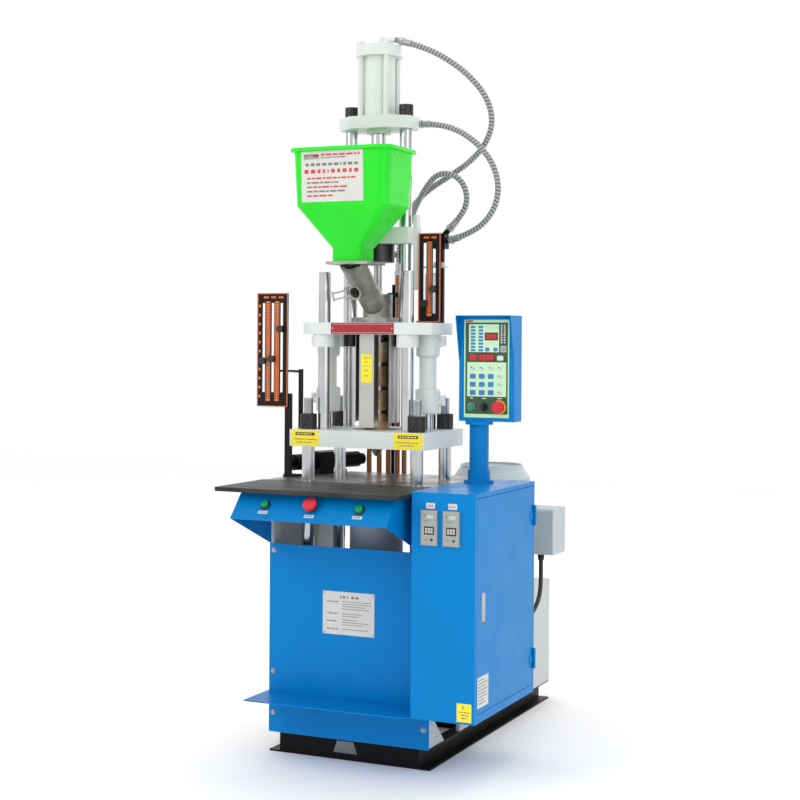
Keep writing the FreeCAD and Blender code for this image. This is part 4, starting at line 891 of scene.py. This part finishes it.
def noticePlate():
    face = frontFace(4 - 83.5, -517, 428 + 62.5)
    plate = Form("noticePlate")
    plate.tile(face, 0, 167, 0, 125, -0.2, 1.2, "label_white", 3, 0.4)
    for x in (6, 161):
        for y in (6, 119):
            plate.turned(face, x, y, [(0, 2.6), (1.8, 2.4), (2.4, 1.2)], "screw_steel", 16)
    for left, right, y, height, tone, seed, mean in (
            (56, 82, 12, 7, "print_grey", 1, 1.0), (92, 116, 12, 7, "print_grey", 2, 1.0),
            (14, 50, 28, 4, "print_grey", 3, 1.4), (64, 156, 27, 2.4, "print_grey", 4, 3),
            (64, 156, 34, 2.4, "print_grey", 5, 3), (64, 140, 41, 2.4, "print_grey", 6, 3),
            (64, 150, 48, 2.4, "print_grey", 7, 3), (14, 50, 62, 4, "print_grey", 8, 1.4),
            (64, 128, 62, 2.4, "print_grey", 9, 3), (64, 118, 69, 2.4, "print_grey", 10, 3),
            (14, 44, 84, 4, "print_grey", 11, 1.4), (64, 112, 80, 2.4, "print_grey", 12, 3),
            (64, 150, 87, 2.4, "print_grey", 13, 3), (64, 132, 94, 2.4, "print_grey", 14, 3),
            (14, 50, 107, 4, "print_grey", 15, 1.4), (64, 146, 107, 2.4, "print_grey", 16, 3)):
        chance = random.Random(seed)
        x = left
        while x < right:
            run = min(height * mean * chance.uniform(0.5, 1.4), right - x)
            plate.tile(face, x, x + run, y, y + height, 1.0, 1.32, tone, 0.2, 0.1)
            x += run + height * 0.6
    plate.place("root", "white_paint")


def panelScrews():
    face = frontFace(0, -517, 0)
    screws = Form("panelScrews")
    for x in (-243, 243):
        for z in (598, 240, 117):
            screws.turned(face, x, -z, [(-0.3, 8), (0.8, 8), (1.2, 7.4)], "screw_steel")
            screws.screw(frontFace(0, -518.2, 0), x, -z, 5.4, "screw_steel", 3.4)
    screws.place("root", "black_oxide")
    strip = Form("shelfStrip")
    strip.tile(frontFace(-250, -667, 183), 0, 60, 0.3, 2.7, -0.3, 0.3, "knob_black", 0.6, 0.2)
    strip.place("root", "black_oxide")


timerPlaces = {"leftTimer": 319.3, "rightTimer": 384.8}


def dressTimers():
    for name, x in timerPlaces.items():
        face = frontFace(x - 24, -663, 758)
        front = Form(name + "Face")
        front.tile(face, 2, 46, 2, 94, -0.3, 1.0, "timer_grey", 2.4, 0.6)
        front.tile(face, 7, 41, 10, 24, 0.8, 1.6, "box_grey", 1.2, 0.3)
        front.tile(face, 18, 39, 12, 22, 1.4, 1.9, "window_grey", 0.6, 0.2)
        front.tile(face, 9, 15, 13, 16, 1.4, 1.8, "print_red", 0.6, 0.2)
        front.tile(face, 11, 40, 44, 66, 0.8, 2.0, "ink_and_shade_black", 1.0, 0.4)
        for wheel in range(3):
            left = 14.5 + wheel * 8
            front.tile(face, left, left + 5.6, 48, 62, 1.8, 2.4, "label_white", 0.8, 0.3)
            front.tile(face, left + 1.9, left + 3.7, 51.5, 58.5, 2.3, 2.6, "ink_and_shade_black", 0.5, 0.1)
        front.turned(face, 33, 80, [(0.8, 3.6), (2.4, 3.4), (3.0, 2.6), (3.0, 1)], "ink_and_shade_black", 24)
        front.tile(face, 9, 26, 28, 30, 0.8, 1.3, "print_grey", 0.4, 0.1)
        front.tile(face, 9, 22, 78, 80, 0.8, 1.3, "print_grey", 0.4, 0.1)
        front.place("root", "timer_grey")
        label = Print(name + "Label", "cabinet", frontFace(x - 11, -656, 778))
        label.field(0, 26, 0, 16, "label_white")
        label.words(3, 23, 6, 4.4, "print_red", int(x), 1, 0.9, 0.7)
        label.place("root", "white_paint")


def cabinetLabels():
    label = Print("doorLabel", "cabinet_door", rightFace(457, -636, 306))
    label.field(0, 82, 0, 84, "label_white", 0, (4, 4))
    for row, fill in enumerate((0.5, 0.9, 0.8, 0.95, 0.7, 0.9, 0.6, 0.85)):
        label.words(7, 75, 8 + row * 9, 3, "print_grey", 20 + row, 1, fill)
    label.place("door", "white_paint")
    caution = Print("cabinetLabel", "cabinet", frontFace(402, -656, 238))
    caution.field(0, 43, 0, 50, "label_yellow", 0, (2, 2))
    caution.words(17, 27, 6, 9, "print_grey", 31, 1, 0.5, 0.9)
    caution.words(6, 38, 22, 3, "print_grey", 32, 1, 0.9)
    caution.words(12, 34, 30, 3, "print_grey", 33, 1, 0.9)
    caution.words(14, 30, 38, 3, "print_grey", 34, 1, 0.9)
    caution.place("root", "blue_paint")


dressConsole()
noticePlate()
panelScrews()
dressTimers()
cabinetLabels()
print("console, panel and cabinet dressed")

# control box

panelFace = frontFace(284, -330, 1284.5)
keyPad = {"columns": (28.6, 56.8, 84.7, 113.4), "rows": (141.8, 165.8, 189.5, 213.2), "size": (18, 14.4)}


def dressControlBox():
    sheet = Form("controlMembrane")
    for left, right, top, bottom, high, tone in (
            (0.5, 141.5, 0.5, 286.5, 0.7, "panel_pale"), (4.8, 137.3, 8.9, 276, 0.9, "panel_dark"),
            (5, 28, 2.4, 7.6, 0.95, "print_red"), (15.5, 109.8, 14, 95.3, 1.1, "panel_pale"),
            (10.7, 132.5, 124.8, 224.9, 1.1, "panel_pale"), (64.8, 106.6, 37.9, 61.2, 1.5, "knob_black"),
            (66.8, 104.6, 39.9, 59.2, 1.8, "display_red"), (42.9, 97.5, 98.8, 122.8, 1.3, "knob_black"),
            (44.9, 95.5, 100.8, 120.8, 1.6, "display_red")):
        sheet.tile(panelFace, left, right, top, bottom, -0.2 if high < 1 else 0.6, high, tone, 1.5, 0.15)
    sheet.place("control_box", "knob_black")


def segments(form, left, top, width, height, lit, lift):
    # one seven-segment figure
    w = width * 0.18
    half = height / 2
    right, middle, bottom = left + width, top + half, top + height
    bars = {"a": (left, right, top, top + w),
            "g": (left, right, middle - w / 2, middle + w / 2),
            "d": (left, right, bottom - w, bottom), "f": (left, left + w, top, middle),
            "b": (right - w, right, top, middle), "e": (left, left + w, middle, bottom),
            "c": (right - w, right, middle, bottom)}
    for key in lit:
        x0, x1, y0, y1 = bars[key]
        form.tile(panelFace, x0 + 0.1, x1 - 0.1, y0 + 0.1, y1 - 0.1, lift - 0.2, lift + 0.15,
                  "digit_red", 0.2, 0.05)


def displayFigures():
    figures = Form("displayFigures")
    for i, lit in enumerate(("abcdef", "abcdef", "abcdef")):
        segments(figures, 72 + i * 10.5, 43.5, 6.6, 12, lit, 1.8)
    for i, lit in enumerate(("abcdef", "abcdef", "abcdef", "abcdef")):
        segments(figures, 50.5 + i * 11.2, 104.4, 7, 12.6, lit, 1.6)
    figures.place("control_box", "button_red")


def keys():
    small = Form("functionKeys")
    small.tile(panelFace, 28.6 - 7.2, 28.6 + 7.2, 22.2 - 3.3, 22.2 + 3.3, 0.9, 2.0, "key_blue", 1.6, 0.5)
    repeated(small, "control_box", "key_blue",
             [(8, (0, 0, -9.65), still, still), (2, (24.4, 0, 0), still, still)])
    pad = Form("padKeysBlue")
    width, height = keyPad["size"][0] / 2, keyPad["size"][1] / 2
    pad.tile(panelFace, 28.6 - width, 28.6 + width, 165.8 - height, 165.8 + height, 0.9, 2.2, "key_blue", 2.4, 0.6)
    repeated(pad, "control_box", "key_blue",
             [(3, (0, 0, -23.7), still, still), (3, (28.1, 0, 0), still, still)])
    pale = Form("padKeysPale")
    for x, y in [(x, keyPad["rows"][0]) for x in keyPad["columns"]] + [(113.4, y) for y in keyPad["rows"][1:]]:
        pale.tile(panelFace, x - width, x + width, y - height, y + height, 0.9, 2.2, "key_pale", 5, 0.6)
        pale.turned(panelFace, x - 3, y - 1.5, [(2.0, 2.2), (2.4, 2.0)], "ink_and_shade_black", 16)
        pale.tile(panelFace, x + 1, x + 5, y + 1, y + 3.4, 2.1, 2.4, "key_blue", 0.5, 0.1)
    for x in (73.3, 99.1):
        pale.tile(panelFace, x - 6.4, x + 6.4, 82, 93, 0.9, 2.0, "key_blue", 1.6, 0.5)
    for x in (70.5, 86, 101):
        pale.turned(panelFace, x, 71, [(0.9, 4.8), (1.8, 4.6), (2.1, 4.0)], "key_pale", 24)
        pale.turned(panelFace, x, 25.5, [(0.9, 5.6), (1.8, 5.4), (2.1, 4.8)], "key_pale", 24)
    pale.tile(panelFace, 18.6, 38.7, 102, 118.6, 0.8, 2.2, "button_red", 3, 0.6)
    pale.tile(panelFace, 103.8, 124.1, 105.3, 119.7, 0.8, 2.2, "key_pale", 4, 0.6)
    pale.tile(panelFace, 114.6, 132.5, 76.9, 95.3, 0.8, 1.6, "label_white", 2, 0.4)
    pale.tile(panelFace, 116.6, 130.5, 78.9, 93.3, 1.4, 2.2, "box_grey", 1.4, 0.4)
    pale.place("control_box", "knob_black")
    marks = Form("panelMarks")
    marks.tile(panelFace, 115, 120.5, 15.5, 20, 0.8, 1.4, "label_white", 0.5, 0.2)
    repeated(marks, "control_box", "label_white",
             [(8, (0, 0, -7), still, still), (2, (9.5, 0, 0), still, still)])


def boxControls():
    face = frontFace(0, -330, 0)
    rings = Form("boxBezels")
    rings.tube(face, 309, -1029, 9.4, 12.4, -0.2, 5.4, "screw_steel")
    rings.tube(face, 348, -1029, 9.8, 13.0, -0.2, 3.4, "knob_black")
    rings.tube(face, 396, -1029, 11, 20.5, -0.2, 2.2, "ring_yellow")
    for x, width in ((309, 10), (348, 13), (396, 14)):
        rings.tile(face, x - width / 2, x + width / 2, -1056, -1053, 0.6, 1.15, "label_white", 0.5, 0.1)
    rings.place("control_box", "button_red")


dressControlBox()
displayFigures()
keys()
boxControls()
print("control box dressed")

# rulers

tickPitch = 7
rulers = {
    "left": {"body": "root", "face": frontFace(-407, -341, 1366), "size": (109, 352), "strips": (39, 70.5),
             "marks": (9.5, 30), "stripFrom": 26, "stripTo": 334, "heads": (24, 50, 76)},
    "right": {"body": "carriage", "face": frontFace(140, -341, 1540), "size": (72, 264), "strips": (36,),
              "marks": (), "stripFrom": 26, "stripTo": 246, "heads": (18, 42)},
}


def dressRuler(name, ruler):
    face = ruler["face"]
    width, height = ruler["size"]
    border = Form(name + "RulerPrint")
    for left, right, top, bottom in ((0.6, 3.6, 0.6, height - 0.6), (width - 3.6, width - 0.6, 0.6, height - 0.6),
                                     (3.6, width - 3.6, 0.6, 3.0), (3.6, width - 3.6, height - 3.0, height - 0.6)):
        border.tile(face, left, right, top, bottom, -0.1, 0.35, "scale_orange", 0.4, 0.1)
    top, bottom = ruler["stripFrom"], ruler["stripTo"]
    for x in ruler["strips"]:
        border.tile(face, x - 7.6, x + 7.6, top, bottom, -0.1, 0.35, "scale_orange", 0.5, 0.1)
    for x in ruler["heads"]:
        for k in range(3):
            border.tile(face, x + k * 6, x + k * 6 + 4.4, 10, 16.5, -0.1, 0.35, "scale_orange", 0.6, 0.1)
    if ruler["marks"]:
        for k in range(11):
            border.tile(face, 6.5, 12.5, 36 + k * 28, 44 + k * 28, -0.1, 0.35, "scale_orange", 1.2, 0.1)
    border.place(ruler["body"], "ruler_orange")
    count = int((bottom - top - 6) / tickPitch)
    for k, x in enumerate(ruler["strips"]):
        ticks = Form(f"{name}RulerTicks{k}")
        ticks.tile(face, x - 6.2, x - 1.6, top + 4, top + 8, 0.2, 0.55, "ink_and_shade_black", 0.4, 0.1)
        repeated(ticks, ruler["body"], "ink_and_shade_black",
                 [(count, (0, 0, -tickPitch), still, still), (2, (7.8, 0, 0), still, still)])


for rulerName, rulerFacts in rulers.items():
    dressRuler(rulerName, rulerFacts)
print("rulers marked")

# gear inside the cabinet and the tank's gauge

gearFace = rightFace(268, -630, 640)
breakerPlaces = [24 + 21 * k for k in range(6)]
contactorPlaces = (24, 76, 128, 180)


def cabinetGear():
    panel = Form("mountingPlate")
    panel.tile(gearFace, 0, 420, 0, 400, -0.4, 2.4, "bright_sheet", 4, 0.5)
    for x in (10, 410):
        for y in (10, 390):
            panel.screw(gearFace, x, y, 4.5, "screw_steel", 5)
    for y in (80, 222):
        panel.tile(gearFace, 14, 406, y - 17.5, y - 12.5, 2.2, 9.5, "screw_steel", 0.5, 0.4)
        panel.tile(gearFace, 14, 406, y + 12.5, y + 17.5, 2.2, 9.5, "screw_steel", 0.5, 0.4)
        panel.tile(gearFace, 14, 406, y - 13, y + 13, 2.2, 4, "screw_steel", 0.5, 0.4)
    panel.place("root", "bright_sheet")
    ducts = Form("wiringDucts")
    for y in (8, 136, 284):
        ducts.tile(gearFace, 14, 406, y, y + 26, 2.2, 40, "timer_grey", 1, 0.8)
        ducts.tile(gearFace, 12, 408, y - 1, y + 27, 40, 42.5, "timer_grey", 1, 0.8)
    ducts.place("root", "timer_grey")
    # black marks on the ducts for their slots: painted shade where the slots open into the ducts
    slits = Form("ductSlots")
    slits.tile(Face((268, -616, 640 - 34.4), (0, 1, 0), (1, 0, 0)), 8, 11, 12, 34, -0.2, 0.6, "ink_and_shade_black", 1, 0.2)
    repeated(slits, "root", "ink_and_shade_black",
             [(38, (0, 10, 0), still, still), (2, (0, 0, -128), still, still)])
    breakers = Form("breakers")
    for x in breakerPlaces:
        breakers.tile(gearFace, x, x + 18, 40, 120, 9, 54, "label_white", 1.5, 1)
        breakers.tile(gearFace, x + 1, x + 17, 60, 100, 50, 66, "label_white", 1.5, 1)
        breakers.tile(gearFace, x + 5, x + 13, 72, 84, 64, 74, "knob_black", 1.5, 1)
        for y in (48, 112):
            breakers.turned(gearFace, x + 9, y, [(52, 4.2), (54.6, 4.2), (54.8, 3.2), (53.6, 3)],
                            "screw_steel", 20)
    breakers.tile(gearFace, 170, 250, 36, 124, 9, 62, "label_white", 3, 1.5)
    breakers.tile(gearFace, 180, 240, 50, 90, 60, 64, "box_grey", 2, 0.8)
    breakers.tile(gearFace, 270, 400, 30, 128, 9, 46, "knob_black", 3, 1.5)
    breakers.tile(gearFace, 278, 392, 40, 118, 44, 47.4, "bright_sheet", 2, 0.6)
    breakers.place("root", "white_paint")
    contactors = Form("contactors")
    for x in contactorPlaces:
        contactors.tile(gearFace, x, x + 45, 184, 260, 9, 52, "timer_grey", 2, 1)
        contactors.tile(gearFace, x + 2, x + 43, 200, 244, 50, 78, "knob_black", 2, 1.4)
        contactors.tile(gearFace, x + 15, x + 30, 214, 230, 76, 81, "label_white", 1.5, 1)
        for k in range(3):
            for y in (191, 253):
                contactors.turned(gearFace, x + 9 + 13.5 * k, y, [(50, 4.4), (53.4, 4.4), (53.8, 3.4), (52.4, 3)],
                                  "screw_steel", 20)
    for x in (250, 300, 350):
        contactors.tile(gearFace, x, x + 30, 190, 254, 9, 64, "window_grey", 2, 1.2)
        contactors.tile(gearFace, x + 6, x + 24, 200, 226, 62, 65.4, "box_grey", 1.5, 0.6)
    contactors.place("root", "timer_grey")
    terminals = Form("terminals")
    terminals.tile(gearFace, 20, 26, 326, 372, 2.2, 40, "label_white", 0.8, 0.6)
    terminals.turned(gearFace, 23, 337, [(38, 2.2), (40.6, 2.2), (40.8, 1.6), (39.6, 1.4)], "screw_steel", 12)
    terminals.turned(gearFace, 23, 361, [(38, 2.2), (40.6, 2.2), (40.8, 1.6), (39.6, 1.4)], "screw_steel", 12)
    repeated(terminals, "root", "timer_grey", [(44, (0, 8.4, 0), still, still)])


def tankGauge():
    face = Face((-262, 180, 330), (0, -1, 0), (0, 0, -1))
    gauge = Form("levelGauge")
    gauge.tile(face, -15, 15, -62, 62, -0.4, 9, "knob_black", 6, 1.5)
    gauge.tile(face, -6, 6, -44, 44, 8.6, 10.6, "window_grey", 5, 0.8)
    gauge.tile(face, -5, 5, 0, 43, 10.4, 10.9, "ring_yellow", 4, 0.2)
    for y in (-53, 53):
        gauge.screw(face, 0, y, 5.4, "screw_steel", 13)
    gauge.place("root", "knob_black")
    plug = Form("drainPlug")
    low = Face((-262, 440, 96), (0, -1, 0), (0, 0, -1))
    plug.turned(low, 0, 0, [(-0.4, 15), (3, 15), (3.6, 14)], "screw_steel", 40)
    plug.turned(low, 0, 0, [(3.4, 11), (11, 11), (12, 10)], "screw_steel", 6)
    plug.place("root", "screw_steel")


cabinetGear()
tankGauge()
print("cabinet gear and tank gauge fitted")

# threads and the motor's grille

tieBarPlaces = {"leftRear": (-178, -220), "rightRear": (178, -220),
                "leftFront": (-178, -428), "rightFront": (178, -428)}


def tieBarThreads():
    for name, (x, y) in tieBarPlaces.items():
        face = Face((x, y, 1001), (1, 0, 0), (0, -1, 0))
        ring = Form(name + "Thread")
        ring.turned(face, 0, 0, [(0.4, 13.4), (1.4, 14.1), (1.8, 14.1), (2.8, 13.4)], "screw_steel", 40)
        repeated(ring, "clamp", "screw_steel", [(15, (0, 0, 3), still, still)])


def nutSlots():
    for name, (x, y) in tieBarPlaces.items():
        slotCut = Form(name + "NutSlots")
        # dark marks for each nut's slots: painted shade in the slot recesses
        slotCut.tile(frontFace(x, y - 25, 1001), -2.6, 2.6, 4, 24, -2.0, 0.5, "ink_and_shade_black", 0.6, 0.3)
        repeated(slotCut, "clamp", "ink_and_shade_black", [(8, still, (0, 0, 45), (x, y, 955))])


def cowlGrille():
    face = Face((152, 240, 806), (1, 0, 0), (0, -1, 0))
    under = Form("cowlShadow")
    under.turned(face, 0, 0, [(0.1, 86), (0.6, 86), (0.8, 85)], "knob_black", 48)
    under.place("root", "motor_grey")
    rings = Form("cowlRings")
    for radius in (20, 36, 52, 68, 84):
        rings.tube(face, 0, 0, radius - 2, radius + 2, 0.4, 3.4, "motor_grey", 48)
    rings.turned(face, 0, 0, [(0.4, 9), (3.2, 9), (3.8, 8)], "motor_grey")
    rings.place("root", "motor_grey")
    spoke = Form("cowlSpokes")
    spoke.tile(face, 6, 88, -1.6, 1.6, 0.6, 3.0, "motor_grey", 0.5, 0.4)
    repeated(spoke, "root", "motor_grey", [(12, still, (0, 0, 30), (152, 240, 806))])


tieBarThreads()
nutSlots()
cowlGrille()
print("threads and grille set")
